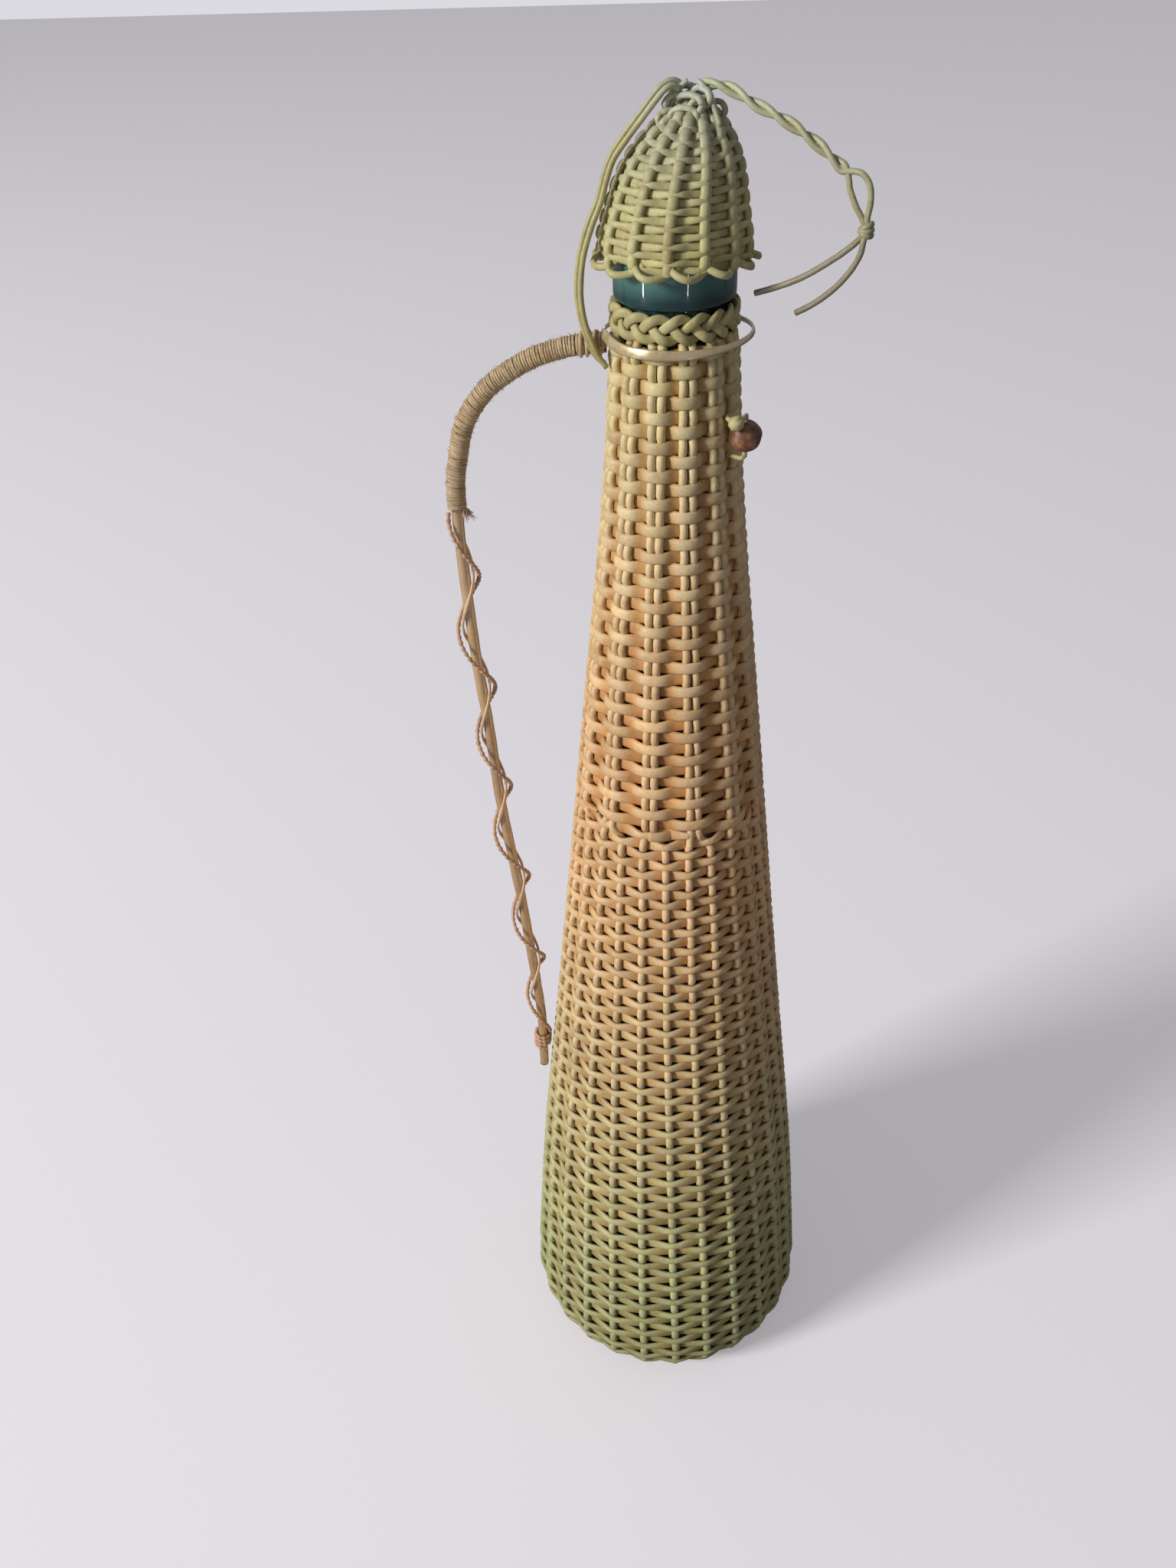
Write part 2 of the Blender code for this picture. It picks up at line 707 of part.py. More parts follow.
class Line:
    """A line in the XZ plane that can be read at any distance along it."""

    def __init__(self, points):
        self.points = points
        self.travelled = [0.0]
        for a, b in zip(points, points[1:]):
            self.travelled.append(self.travelled[-1] + (b - a).length)
        self.length = self.travelled[-1]

    def at(self, distance):
        """The point there, the direction of travel, and the direction towards the bottle."""
        distance = min(max(distance, 0.0), self.length)
        row = max(i for i in range(len(self.points) - 1) if self.travelled[i] <= distance)
        a, b = self.points[row], self.points[row + 1]
        place = a.lerp(b, (distance - self.travelled[row]) / (b - a).length)
        before = self.points[max(row - 1, 0)]
        after = self.points[min(row + 2, len(self.points) - 1)]
        ahead = (after - before).normalized()
        return place, ahead, Vector((-ahead.z, 0, ahead.x))

    def distance_at_height(self, height):
        """How far along the line its lower part passes the given height."""
        rows = [i for i in range(len(self.points) - 1) if self.points[i].z >= height]
        return self.travelled[max(rows)]

    def around(self, distance, radius, angle):
        """A point beside the line: angle 0 faces the bottle, and a quarter turn faces +Y."""
        place, _, inward = self.at(distance)
        across = Vector((0, math.sin(angle), 0)) * radius
        return place + inward * (radius * math.cos(angle)) + across

    def stretch(self, start, end, step):
        count = max(1, round((end - start) / step))
        return [self.at(start + (end - start) * k / count) for k in range(count + 1)]


def build_rod(line):
    points = [place for place, _, _ in line.stretch(0.0, line.length, HANDLE_STEP)]
    cane("handle_rod", points, ROD_RADIUS, GLOSSY_CANE)


def build_wrap(line, start):
    """A sleeve of tight turns round the handle's upper part."""
    bm = bmesh.new()
    stations = line.stretch(start, start + WRAP_LENGTH, HANDLE_STEP)
    layers = []
    for radius in (WRAP_INNER_RADIUS + WRAP_THICKNESS, WRAP_INNER_RADIUS):
        rings = []
        for place, _, inward in stations:
            ring = []
            for k in range(WRAP_SIDES):
                angle = 2 * math.pi * k / WRAP_SIDES
                across = Vector((0, math.sin(angle), 0))
                spot = place + (inward * math.cos(angle) + across) * radius
                ring.append(bm.verts.new(spot))
            rings.append(ring)
        layers.append(rings)
    for rings in layers:
        for lower, upper in zip(rings, rings[1:]):
            bridge(bm, lower, upper)
    bridge(bm, layers[0][0], layers[1][0])
    bridge(bm, layers[0][-1], layers[1][-1])
    add_mesh("handle_wrap", bm, DARK_WRAP)


def build_lashing(line, wrap_start):
    """Turns that bind the rod's end beside the neck, as one strand from the neck to the wrap."""
    strand = 2 * STRAND_RADIUS
    first = LASHING_SETBACK
    points = []
    steps = LASHING_TURNS * POINTS_PER_TURN
    for k in range(steps + 1):
        angle = -math.pi / 2 + 2 * math.pi * k / POINTS_PER_TURN
        points.append(line.around(first + TURN_PITCH * k / POINTS_PER_TURN, TURN_RADIUS, angle))
    neck_depth = math.sqrt(NECK_JACKET_RADIUS**2 - TURN_RADIUS**2)
    start = points[0]
    lead = [Vector((-neck_depth - 2 * CLEARANCE, start.y, start.z))]
    lead.append(lead[0] - Vector((strand, 0, 0)))
    last_angle = -math.pi / 2 + 2 * math.pi * LASHING_TURNS
    end = wrap_start - CLEARANCE
    tail = [line.around(end - strand * share, TURN_RADIUS, last_angle) for share in (1.0, 0.0)]
    points = lead + points + tail
    print("least gap in the top lashing", least_gap(points, STRAND_RADIUS, POINTS_PER_TURN // 2))
    cane("handle_top_lashing", points, STRAND_RADIUS, DARK_WRAP, 1)


def loose_stretch(line, wrap_end):
    """Where along the rod the loose turns start, and how far they reach."""
    start = wrap_end + CLEARANCE + 2 * STRAND_RADIUS
    tight_start = line.distance_at_height(FOOT_TURNS_HEIGHT) - FOOT_TURNS * TURN_PITCH
    return start, tight_start - start


def build_spiral(line, wrap_end):
    """One strand from the wrap down the rod in loose turns, then tight turns at the foot."""
    loose_start, loose_length = loose_stretch(line, wrap_end)
    tight_start = loose_start + loose_length
    first_angle = math.pi
    points = [line.around(wrap_end + CLEARANCE, TURN_RADIUS, first_angle)]
    steps = SPIRAL_HALF_TURNS * POINTS_PER_TURN // 2
    for k in range(steps + 1):
        share = k / steps
        swell = min(1.0, share * SPIRAL_HALF_TURNS, (1 - share) * SPIRAL_HALF_TURNS)
        radius = TURN_RADIUS + (SPIRAL_RADIUS - TURN_RADIUS) * max(0.0, swell)
        angle = first_angle + math.pi * SPIRAL_HALF_TURNS * share
        points.append(line.around(loose_start + loose_length * share, radius, angle))
    tight_angle = first_angle + math.pi * SPIRAL_HALF_TURNS
    quarter = POINTS_PER_TURN // 4
    steps = FOOT_TURNS * POINTS_PER_TURN - quarter
    for k in range(1, steps + 1):
        angle = tight_angle + 2 * math.pi * k / POINTS_PER_TURN
        points.append(line.around(tight_start + TURN_PITCH * k / POINTS_PER_TURN, TURN_RADIUS, angle))
    last = points[-1]
    face = lower_ribs().face_radius(last.z, math.atan2(last.y, last.x))
    surface = math.sqrt(face**2 - last.y**2)
    points.append(Vector((-surface - 2 * CLEARANCE, last.y, last.z)))
    print("least gap in the spiral", least_gap(points, STRAND_RADIUS, POINTS_PER_TURN // 2))
    cane("handle_spiral", points, STRAND_RADIUS, COPPER_STRAND, 1)


def build_cross_strand(line, wrap_end):
    """A second strand that winds the other way, close to the rod and under the loose turns, from
    a quarter turn below their start to a quarter turn above their end."""
    loose_start, loose_length = loose_stretch(line, wrap_end)
    half_turns = SPIRAL_HALF_TURNS - 1
    steps = half_turns * POINTS_PER_TURN // 2
    points = []
    for k in range(steps + 1):
        turned_by = half_turns * k / steps + 1 / 2
        distance = loose_start + loose_length * turned_by / SPIRAL_HALF_TURNS
        points.append(line.around(distance, TURN_RADIUS, math.pi - math.pi * turned_by))
    print("least gap in the cross strand", least_gap(points, STRAND_RADIUS, POINTS_PER_TURN // 2))
    print("gap where the strands cross", SPIRAL_RADIUS - TURN_RADIUS - 2 * STRAND_RADIUS)
    cane("handle_cross_strand", points, STRAND_RADIUS, COPPER_STRAND, 1)


def build_frayed_end(line, wrap_end):
    """The broken end of the wrapping strand, which pokes out at the bottle's side."""
    radius = WRAP_INNER_RADIUS + WRAP_THICKNESS / 2
    start = wrap_end + CLEARANCE
    points = []
    for share in (0.0, 0.25, 0.6, 1.0):
        reach = radius + FRAYED_LENGTH * share * share
        points.append(line.around(start + FRAYED_LENGTH * share, reach, 0.0))
    cane("wrap_frayed_end", points, STRAND_RADIUS, DARK_WRAP, 1)


def build_handle():
    line = Line(handle_line())
    wrap_start = LASHING_SETBACK + LASHING_TURNS * TURN_PITCH + 2 * STRAND_RADIUS + CLEARANCE
    wrap_end = wrap_start + WRAP_LENGTH
    build_rod(line)
    build_lashing(line, wrap_start)
    build_wrap(line, wrap_start)
    build_spiral(line, wrap_end)
    build_cross_strand(line, wrap_end)
    build_frayed_end(line, wrap_end)


# Bead
def build_bead():
    centre_height = STRANDS_TOP - BEAD_DROP
    out = Vector((math.cos(BEAD_AZIMUTH), math.sin(BEAD_AZIMUTH), 0))
    axis_reach = jacket_radius(centre_height - BEAD_RADIUS) + CLEARANCE + BEAD_RADIUS
    centre = out * axis_reach + Vector((0, 0, centre_height))
    hole = TIE_RADIUS + BEAD_PLAY
    half_height = math.sqrt(BEAD_RADIUS**2 - hole**2)
    start = math.asin(half_height / BEAD_RADIUS)
    outline = arc((0, 0), (BEAD_RADIUS, BEAD_RADIUS), -start, start, 2 * ARC_STEPS - 3)
    pivot = add_pivot("bead_pivot", centre)
    bead = turned("toggle_bead", outline, NUT_BROWN, SMALL_SIDES)
    bead.parent = pivot
    tie = []
    for side in (1, -1):
        bend_height = centre_height + side * (BEAD_RADIUS + TIE_RADIUS)
        level = bend_height + side * TIE_BEND
        surface = upper_ribs().face_radius(level, BEAD_AZIMUTH) + 2 * CLEARANCE
        leg = [out * surface + Vector((0, 0, level))]
        for k in range(ARC_STEPS + 1):
            angle = math.pi / 2 * (1 - k / ARC_STEPS)
            reach = axis_reach - TIE_BEND * (1 - math.cos(angle))
            leg.append(out * reach + Vector((0, 0, bend_height + side * TIE_BEND * math.sin(angle))))
        tie += leg if side == 1 else list(reversed(leg))
    cane("bead_tie", tie, TIE_RADIUS, STRAW, 1)


# Strap
def strap_place(spot):
    out, side = strap_directions()
    place = out * spot[0] + side * spot[1]
    return Vector((KNOT_CENTRE.x + place.x, KNOT_CENTRE.y + place.y, spot[2]))


def build_tether(parent):
    for name, route in (
        ("strap_tether_rear", TETHER_REAR_ROUTE),
        ("strap_tether_front", TETHER_FRONT_ROUTE),
    ):
        points = smooth_points([Vector(spot) for spot in route], 4 * CANE_RADIUS)
        cane(name, points, CANE_RADIUS, STRAW, parent=parent)


def build_strap(parent):
    step = 4 * CANE_RADIUS
    cord = smooth_points([strap_place(spot) for spot in CORD_ROUTE], 2 * CORD_RADIUS)
    cane("strap_cord", cord, CORD_RADIUS, STRAW, parent=parent)
    eye = [strap_place(spot) for spot in EYE_ROUTE]
    cane("strap_eye", eye, CANE_RADIUS, STRAW, cyclic=True, parent=parent)
    for name, route in (
        ("strap_long_tail", LONG_TAIL_ROUTE),
        ("strap_short_tail", SHORT_TAIL_ROUTE),
    ):
        tail = smooth_points([strap_place(spot) for spot in route], step)
        cane(name, tail, CANE_RADIUS, STRAW, parent=parent)
    build_strap_knot(parent)


def build_strap_knot(parent):
    bm = bmesh.new()
    bmesh.ops.create_uvsphere(bm, u_segments=12, v_segments=8, radius=1)
    out, side = strap_directions()
    centre = strap_place(STRAP_KNOT_PLACE)
    along, beside, up = STRAP_KNOT_SEMI_AXES
    for vert in bm.verts:
        x, y, z = vert.co
        vert.co = centre + out * (x * along) + side * (y * beside) + Vector((0, 0, z * up))
    add_mesh("strap_knot", bm, STRAW, parent)


def main():
    for obj in list(bpy.data.objects):
        bpy.data.objects.remove(obj)
    build_glass()
    build_base_weave()
    build_ribbed("lower_weave", lower_ribs(), TAN_CANE)
    build_ribbed("upper_weave", upper_ribs(), TAN_CANE)
    build_neck_strands()
    build_collar()
    build_hoop()
    build_handle()
    build_bead()
    cap_pivot = add_pivot("cap_pivot", (0, 0, MOUTH))
    build_cap_cover(cap_pivot)
    build_cap_border(cap_pivot)
    build_cork(cap_pivot)
    build_tip_knot(cap_pivot)
    build_tether(cap_pivot)
    strap_pivot = add_pivot("strap_pivot", KNOT_CENTRE)
    build_strap(strap_pivot)


main()
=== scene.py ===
"""Looks of the wicker-covered bottle: woven cane, glass, cork, bead and bound handle, built round the
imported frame. Units are metres, +Z is up, and the handle is at -X."""

import math

import bmesh
import bpy
import numpy as np
from mathutils import Matrix, Vector


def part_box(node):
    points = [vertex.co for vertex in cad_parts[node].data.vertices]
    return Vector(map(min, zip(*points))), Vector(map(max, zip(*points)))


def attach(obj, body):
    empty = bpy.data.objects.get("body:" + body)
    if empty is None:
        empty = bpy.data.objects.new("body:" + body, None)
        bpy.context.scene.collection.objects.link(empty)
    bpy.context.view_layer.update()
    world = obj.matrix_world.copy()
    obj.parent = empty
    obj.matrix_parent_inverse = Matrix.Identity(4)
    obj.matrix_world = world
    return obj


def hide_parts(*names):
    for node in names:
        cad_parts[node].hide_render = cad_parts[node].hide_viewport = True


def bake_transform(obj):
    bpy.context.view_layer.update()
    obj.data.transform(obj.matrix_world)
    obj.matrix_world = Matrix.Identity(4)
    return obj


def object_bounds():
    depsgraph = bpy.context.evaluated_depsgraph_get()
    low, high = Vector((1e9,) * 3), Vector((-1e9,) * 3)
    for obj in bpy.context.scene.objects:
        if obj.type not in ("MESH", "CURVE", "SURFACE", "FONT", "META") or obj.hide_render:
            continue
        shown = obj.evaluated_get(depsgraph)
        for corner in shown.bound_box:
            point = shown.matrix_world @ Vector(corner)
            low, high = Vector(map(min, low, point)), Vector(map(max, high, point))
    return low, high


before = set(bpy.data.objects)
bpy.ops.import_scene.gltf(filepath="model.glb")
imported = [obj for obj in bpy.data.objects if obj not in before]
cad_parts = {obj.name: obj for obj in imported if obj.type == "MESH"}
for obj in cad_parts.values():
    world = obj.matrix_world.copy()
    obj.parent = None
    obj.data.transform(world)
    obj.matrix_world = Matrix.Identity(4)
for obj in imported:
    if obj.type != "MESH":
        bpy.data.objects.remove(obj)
cad_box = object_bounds()

MM = 0.001
UP = np.array((0, 0, 1.0))

# Camera, in the photograph's frame of 1536 by 2048 pixels
IMAGE_HEIGHT_PX = 2048
FOCAL_PX = 1750
SENSOR = 0.036
CAMERA_PLACE = (0.0, -0.3, 0.4398)
CAMERA_PITCH = math.radians(36)
CAMERA_YAW = math.radians(4.32)
CAMERA_ROLL = math.radians(-1.97)
CLIP_START = 0.01


def add_object(name, data):
    obj = bpy.data.objects.new(name, data)
    bpy.context.scene.collection.objects.link(obj)
    return obj


def add_camera():
    """A camera that looks along +Y, down by the pitch and a little to the left."""
    level = math.cos(CAMERA_PITCH)
    forward = Vector((-math.sin(CAMERA_YAW) * level, math.cos(CAMERA_YAW) * level, -math.sin(CAMERA_PITCH)))
    level_right = Vector((math.cos(CAMERA_YAW), math.sin(CAMERA_YAW), 0))
    level_up = level_right.cross(forward)
    right = level_right * math.cos(CAMERA_ROLL) + level_up * math.sin(CAMERA_ROLL)
    up = level_up * math.cos(CAMERA_ROLL) - level_right * math.sin(CAMERA_ROLL)
    data = bpy.data.cameras.new("camera")
    data.sensor_width = SENSOR / MM
    data.lens = SENSOR / MM * FOCAL_PX / IMAGE_HEIGHT_PX
    data.clip_start = CLIP_START
    camera = add_object("camera", data)
    turn = Matrix((right, up, -forward)).transposed().to_4x4()
    camera.matrix_world = Matrix.Translation(CAMERA_PLACE) @ turn
    bpy.context.scene.camera = camera


add_camera()


# Places read from the frame
LEVEL_TOLERANCE = 0.0001


def node_points(name):
    return np.array([v.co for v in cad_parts[name].data.vertices], float)


def reach(points):
    return np.hypot(points[:, 0], points[:, 1])


def widest(name, level=math.inf):
    """How far a node reaches from the axis below a level."""
    points = node_points(name)
    return float(reach(points[points[:, 2] < level]).max())


def span(name):
    low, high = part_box(name)
    return low.z, high.z


def outer_line(*names):
    """Heights and outer radii of the jacket's shells, ring by ring, from the lowest up."""
    rings = {}
    for name in names:
        points = node_points(name)
        for height, radius in zip(points[:, 2], reach(points)):
            key = round(float(height), 5)
            rings[key] = max(rings.get(key, 0.0), float(radius))
    heights = sorted(rings)
    return np.array(heights), np.array([rings[h] for h in heights])


JACKET_FOOT, CORNER_TOP = span("base_weave")
LOWER_TOP = span("lower_weave")[1]
UPPER_TOP = span("upper_weave")[1]
STRANDS_TOP = span("neck_strands")[1]
COLLAR_LOW, COLLAR_HIGH = span("neck_collar")
CAP_LOW, CAP_TOP = span("cap_cover")
GLASS_FOOT, MOUTH = span("glass_bottle")
FLAT_RADIUS = widest("base_weave", JACKET_FOOT + LEVEL_TOLERANCE)
WIDEST_RADIUS = widest("base_weave")
NECK_RADIUS = widest("neck_strands")
COLLAR_RADIUS = widest("neck_collar")
JACKET_HEIGHTS, JACKET_RADII = outer_line("lower_weave", "upper_weave", "neck_strands")


# Curves
def unit(vectors):
    return vectors / np.maximum(np.linalg.norm(vectors, axis=1), 1e-12)[:, None]


def polar(radius, angle, height):
    """Points or directions by radius, angle and height."""
    return np.stack([radius * np.cos(angle), radius * np.sin(angle), height + 0 * angle], axis=1)


def whole_turn(count):
    """Angles evenly round a closed turn."""
    return np.linspace(0, math.tau, count, endpoint=False)


def read_rows(places, along, rows):
    """Rows of a table, read at places along it."""
    return np.stack([np.interp(places, along, column) for column in rows.T], axis=1)


def distances(path):
    """How far along the path each of its points is."""
    return np.concatenate([[0], np.cumsum(np.linalg.norm(np.diff(path, axis=0), axis=1))])


def length_of(path):
    return float(distances(path)[-1])


def hermite(t, a, slope_a, b, slope_b):
    """The smooth curve from a to b with the given slopes, at shares t of the way."""
    return (
        (2 * t**3 - 3 * t**2 + 1) * a
        + (t**3 - 2 * t**2 + t) * slope_a
        + (3 * t**2 - 2 * t**3) * b
        + (t**3 - t**2) * slope_b
    )


def smooth_step(x):
    x = np.clip(x, 0, 1)
    return x * x * (3 - 2 * x)


def resample(route, step):
    """Points at about the given step on a smooth curve through the route."""
    route = np.array(route, float)
    last = len(route) - 1
    t = np.arange(0, 1, 1 / 16)[:, None]
    fine = []
    for i, (a, b) in enumerate(zip(route, route[1:])):
        slope_a = (b - route[max(i - 1, 0)]) * (0.5 if i else 1)
        slope_b = (route[min(i + 2, last)] - a) * (0.5 if i + 1 < last else 1)
        fine.append(hermite(t, a, slope_a, b, slope_b))
    fine = np.concatenate(fine + [route[-1:]])
    travelled = distances(fine)
    count = max(3, round(travelled[-1] / step))
    return read_rows(np.linspace(0, travelled[-1], count + 1), travelled, fine)


def carried_normals(path, start):
    """Normals that follow a free path without twisting round it."""
    normal = np.array(start, float)
    normals = []
    for direction in unit(np.gradient(path, axis=0)):
        normal = normal - direction * normal.dot(direction)
        normal = normal / np.linalg.norm(normal)
        normals.append(normal)
    return np.array(normals)


def ripple(values, seed, size, waves=(1.0, 2.3, 4.1)):
    """A smooth unevenness of the given size, the same each run."""
    chance = np.random.default_rng(seed)
    total = np.zeros_like(np.asarray(values, float))
    for wave in waves:
        pace = wave * chance.uniform(0.8, 1.2)
        total += np.sin(values * pace + chance.uniform(0, math.tau)) / len(waves)
    return total * size


def shades(values, seed, size, middle=0.5):
    """Shades between 0 and 1 that drift along a strand."""
    return np.clip(middle + ripple(values, seed, size), 0, 1)


def wave(position, flatness):
    """1 over even places and -1 over odd ones, with flats on the places for a low flatness."""
    c = np.cos(math.pi * position)
    return c * np.sqrt(1 + flatness**2) / np.sqrt(c**2 + flatness**2)


class TurnedLine:
    """An outer line turned about the upright axis, read by how far along it a place is."""

    def __init__(self, line):
        self.line = np.array(line)
        self.along = distances(self.line)
        tangent = unit(np.gradient(self.line, self.along, axis=0))
        self.normal = np.stack([tangent[:, 1], -tangent[:, 0]], axis=1)
        self.length = float(self.along[-1])

    def radius(self, along):
        return np.interp(along, self.along, self.line[:, 0])

    def height(self, along):
        return np.interp(along, self.along, self.line[:, 1])

    def place(self, along, azimuth, depth):
        """Points below the outer line by depth, and the outward normals there."""
        out, up = read_rows(along, self.along, self.normal).T
        points = polar(self.radius(along) - depth * out, azimuth, self.height(along) - depth * up)
        return points, polar(out, azimuth, up)


# The jacket's outer line
LINE_STEP = 0.0004
RING_GAP = 0.004


def smooth_radii(heights):
    """Radii of the jacket on a smooth curve through the rings of its turned shells."""
    keep = np.concatenate([[True], np.diff(JACKET_HEIGHTS) > RING_GAP])
    xs, ys = JACKET_HEIGHTS[keep], JACKET_RADII[keep]
    row = np.clip(np.searchsorted(xs, heights) - 1, 0, len(xs) - 2)
    width = xs[row + 1] - xs[row]
    slopes = np.gradient(ys, xs)
    t = np.clip((heights - xs[row]) / width, 0, 1)
    return hermite(t, ys[row], slopes[row] * width, ys[row + 1], slopes[row + 1] * width)


def jacket_line():
    """From the middle of the foot out, round its corner and up to the collar."""
    flat = [(r, 0.0) for r in np.arange(0, FLAT_RADIUS, LINE_STEP)]
    out, rise = WIDEST_RADIUS - FLAT_RADIUS, CORNER_TOP
    turn = np.linspace(-math.pi / 2, 0, 60)
    corner = [(FLAT_RADIUS + out * math.cos(a), rise + rise * math.sin(a)) for a in turn]
    heights = np.arange(CORNER_TOP + LINE_STEP, COLLAR_LOW + 2 * LINE_STEP, LINE_STEP)
    return flat + corner + list(zip(smooth_radii(heights), heights))


profile = TurnedLine(jacket_line())


def along_at(height):
    """How far along the jacket's line a height on its side is."""
    side = len(profile.line) // 9
    return float(np.interp(height, profile.line[side:, 1], profile.along[side:]))


def jacket_radius(height):
    return float(np.interp(height, JACKET_HEIGHTS, JACKET_RADII))


# Strands
def hand_over(piece, slot, body, *nodes):
    """Hides the nodes that a piece stands for and sets it on the body that it rides on. The slot is not
    used.
    """
    if nodes:
        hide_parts(*nodes)
    if body:
        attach(piece, body)
    return piece


class Bundle:
    """Strands gathered into one mesh, each a closed tube with three numbers at every point: how far
    along the strand it is, a shade from 0 to 1 that tells the strands apart, and how deep it lies
    in the weave, from 0 on top to 1 behind the other canes."""

    def __init__(self, sides=10, squareness=2.3):
        """The outline is round, and squarer with a higher squareness."""
        turn = np.arange(sides) * math.tau / sides + math.pi / sides
        corners = np.stack([np.cos(turn), np.sin(turn)], axis=1)
        self.outline = np.sign(corners) * np.abs(corners) ** (2 / squareness)
        self.points, self.faces, self.ends = [], [], []
        self.layers = {"along": [], "shade": [], "deep": []}
        self.count = 0

    def add(self, path, normals, width, thickness, shade=0.5, closed=False, deep=0.0):
        """A strand with its width across the surface and its thickness along the normals."""
        n, m = len(path), len(self.outline)
        if closed:
            ahead = unit(np.roll(path, -1, axis=0) - np.roll(path, 1, axis=0))
        else:
            ahead = unit(np.gradient(path, axis=0))
        outward = unit(normals - (normals * ahead).sum(1)[:, None] * ahead)
        across = np.cross(ahead, outward)
        half_width = np.broadcast_to(np.asarray(width, float), n) / 2
        half_thickness = np.broadcast_to(np.asarray(thickness, float), n) / 2
        side, rise = self.outline.T
        ring = (
            path[:, None, :]
            + across[:, None, :] * (side[None, :, None] * half_width[:, None, None])
            + outward[:, None, :] * (rise[None, :, None] * half_thickness[:, None, None])
        )
        self.points.append(ring.reshape(-1, 3))
        for label, values in (("along", distances(path)), ("shade", shade), ("deep", deep)):
            self.layers[label].append(np.repeat(np.broadcast_to(np.asarray(values, float), n), m))
        i, k = np.meshgrid(np.arange(n if closed else n - 1), np.arange(m), indexing="ij")
        row, row_after = i * m, ((i + 1) % n) * m
        after = (k + 1) % m
        quads = np.stack([row_after + k, row_after + after, row + after, row + k], axis=-1)
        self.faces += (quads.reshape(-1, 4) + self.count).tolist()
        if not closed:
            last = self.count + (n - 1) * m
            self.ends.append(list(range(self.count, self.count + m)))
            self.ends.append(list(range(last + m - 1, last - 1, -1)))
        self.count += n * m

    def build(self, name, material, slot, body, *nodes):
        mesh = bpy.data.meshes.new(name)
        mesh.from_pydata(np.concatenate(self.points).tolist(), [], self.faces + self.ends)
        for label, values in self.layers.items():
            layer = mesh.attributes.new(label, "FLOAT", "POINT")
            layer.data.foreach_set("value", np.concatenate(values).astype(np.float32))
        mesh.shade_smooth()
        mesh.materials.append(material)
        return hand_over(add_object(name, mesh), slot, body, *nodes)


# Materials
def new_material(name):
    material = bpy.data.materials.new(name)
    material.use_nodes = True
    tree = material.node_tree
    return material, tree, tree.nodes["Principled BSDF"]


def plug(tree, value, socket):
    """Feeds a socket from another node, or sets its value."""
    if hasattr(value, "is_linked"):
        tree.links.new(value, socket)
    else:
        socket.default_value = value


def add_node(tree, kind, inputs=None, **settings):
    node = tree.nodes.new(kind)
    for key, value in settings.items():
        setattr(node, key, value)
    for key, value in (inputs or {}).items():
        plug(tree, value, node.inputs[key])
    return node


def ramp(tree, source, stops):
    """A colour ramp read by a value: stops are pairs of place and colour."""
    node = add_node(tree, "ShaderNodeValToRGB", {"Fac": source})
    elements = node.color_ramp.elements
    while len(elements) < len(stops):
        elements.new(0.5)
    for element, (place, colour) in zip(elements, stops):
        element.position = place
        element.color = (*colour, 1)
    return node.outputs["Color"]


def mixed(tree, blend, share, a, b):
    node = add_node(tree, "ShaderNodeMix", data_type="RGBA", blend_type=blend)
    sockets = {socket.identifier: socket for socket in node.inputs}
    for label, value in (("Factor_Float", share), ("A_Color", a), ("B_Color", b)):
        plug(tree, value, sockets[label])
    return next(s for s in node.outputs if s.identifier == "Result_Color")


def maths(tree, operation, a, b):
    return add_node(tree, "ShaderNodeMath", {0: a, 1: b}, operation=operation).outputs[0]


def attribute(tree, label):
    node = add_node(tree, "ShaderNodeAttribute", attribute_type="GEOMETRY", attribute_name=label)
    return node.outputs["Fac"]


def object_place(tree):
    """The place on the object, and its height."""
    place = add_node(tree, "ShaderNodeTexCoord").outputs["Object"]
    return place, add_node(tree, "ShaderNodeSeparateXYZ", {0: place}).outputs["Z"]


def noise(tree, vector, scale, detail=3.0, roughness=0.55):
    inputs = {"Vector": vector, "Scale": scale, "Detail": detail, "Roughness": roughness}
    return add_node(tree, "ShaderNodeTexNoise", inputs).outputs["Fac"]


def bump(tree, height, strength, distance):
    inputs = {"Strength": strength, "Distance": distance, "Height": height}
    return add_node(tree, "ShaderNodeBump", inputs).outputs["Normal"]


def set_shader(tree, shader, **inputs):
    """Sets or feeds the shader's sockets, named with _ for a space."""
    for label, value in inputs.items():
        plug(tree, value, shader.inputs[label.replace("_", " ")])


def strand_vector(tree):
    """Texture space that runs along the strand, so that patches stretch with it."""
    along = maths(tree, "MULTIPLY", attribute(tree, "along"), PATCH_STRETCH)
    aside = maths(tree, "MULTIPLY", attribute(tree, "shade"), PATCH_APART)
    return add_node(tree, "ShaderNodeCombineXYZ", {0: along, 1: aside}).outputs[0]


# Scales of the textures, and how high their relief stands
PATCH_STRETCH = 60.0
PATCH_APART = 7.0
STAIN_SCALE = 260.0
SPECKLE_SCALE = 1500.0
SWIRL_SCALE = 60.0
CORK_GRAIN_SCALE = 420.0
SCAR_SCALE = 240.0
CANE_RELIEF = 0.0002
CORK_RELIEF = 0.0004
SCAR_RELIEF = 0.0003
WHITE = (1.0, 1.0, 1.0)
# Painted light and shade by depth in the weave: canes on top a little lighter, canes deep in the hollows
# and behind others darker and warmer
PAINTED_WEAVE_SHADING = (
    (0.1, (1.08, 1.08, 1.04)), (0.3, (1.0, 0.98, 0.92)), (0.5, (0.94, 0.82, 0.64)),
    (0.75, (0.85, 0.66, 0.44)), (1.0, (0.76, 0.53, 0.31)),
)
# Painted shade for the cap's canes: greyer and darker the deeper they lie
PAINTED_CAP_SHADING = ((0.25, WHITE), (1.0, (0.86, 0.82, 0.7)))
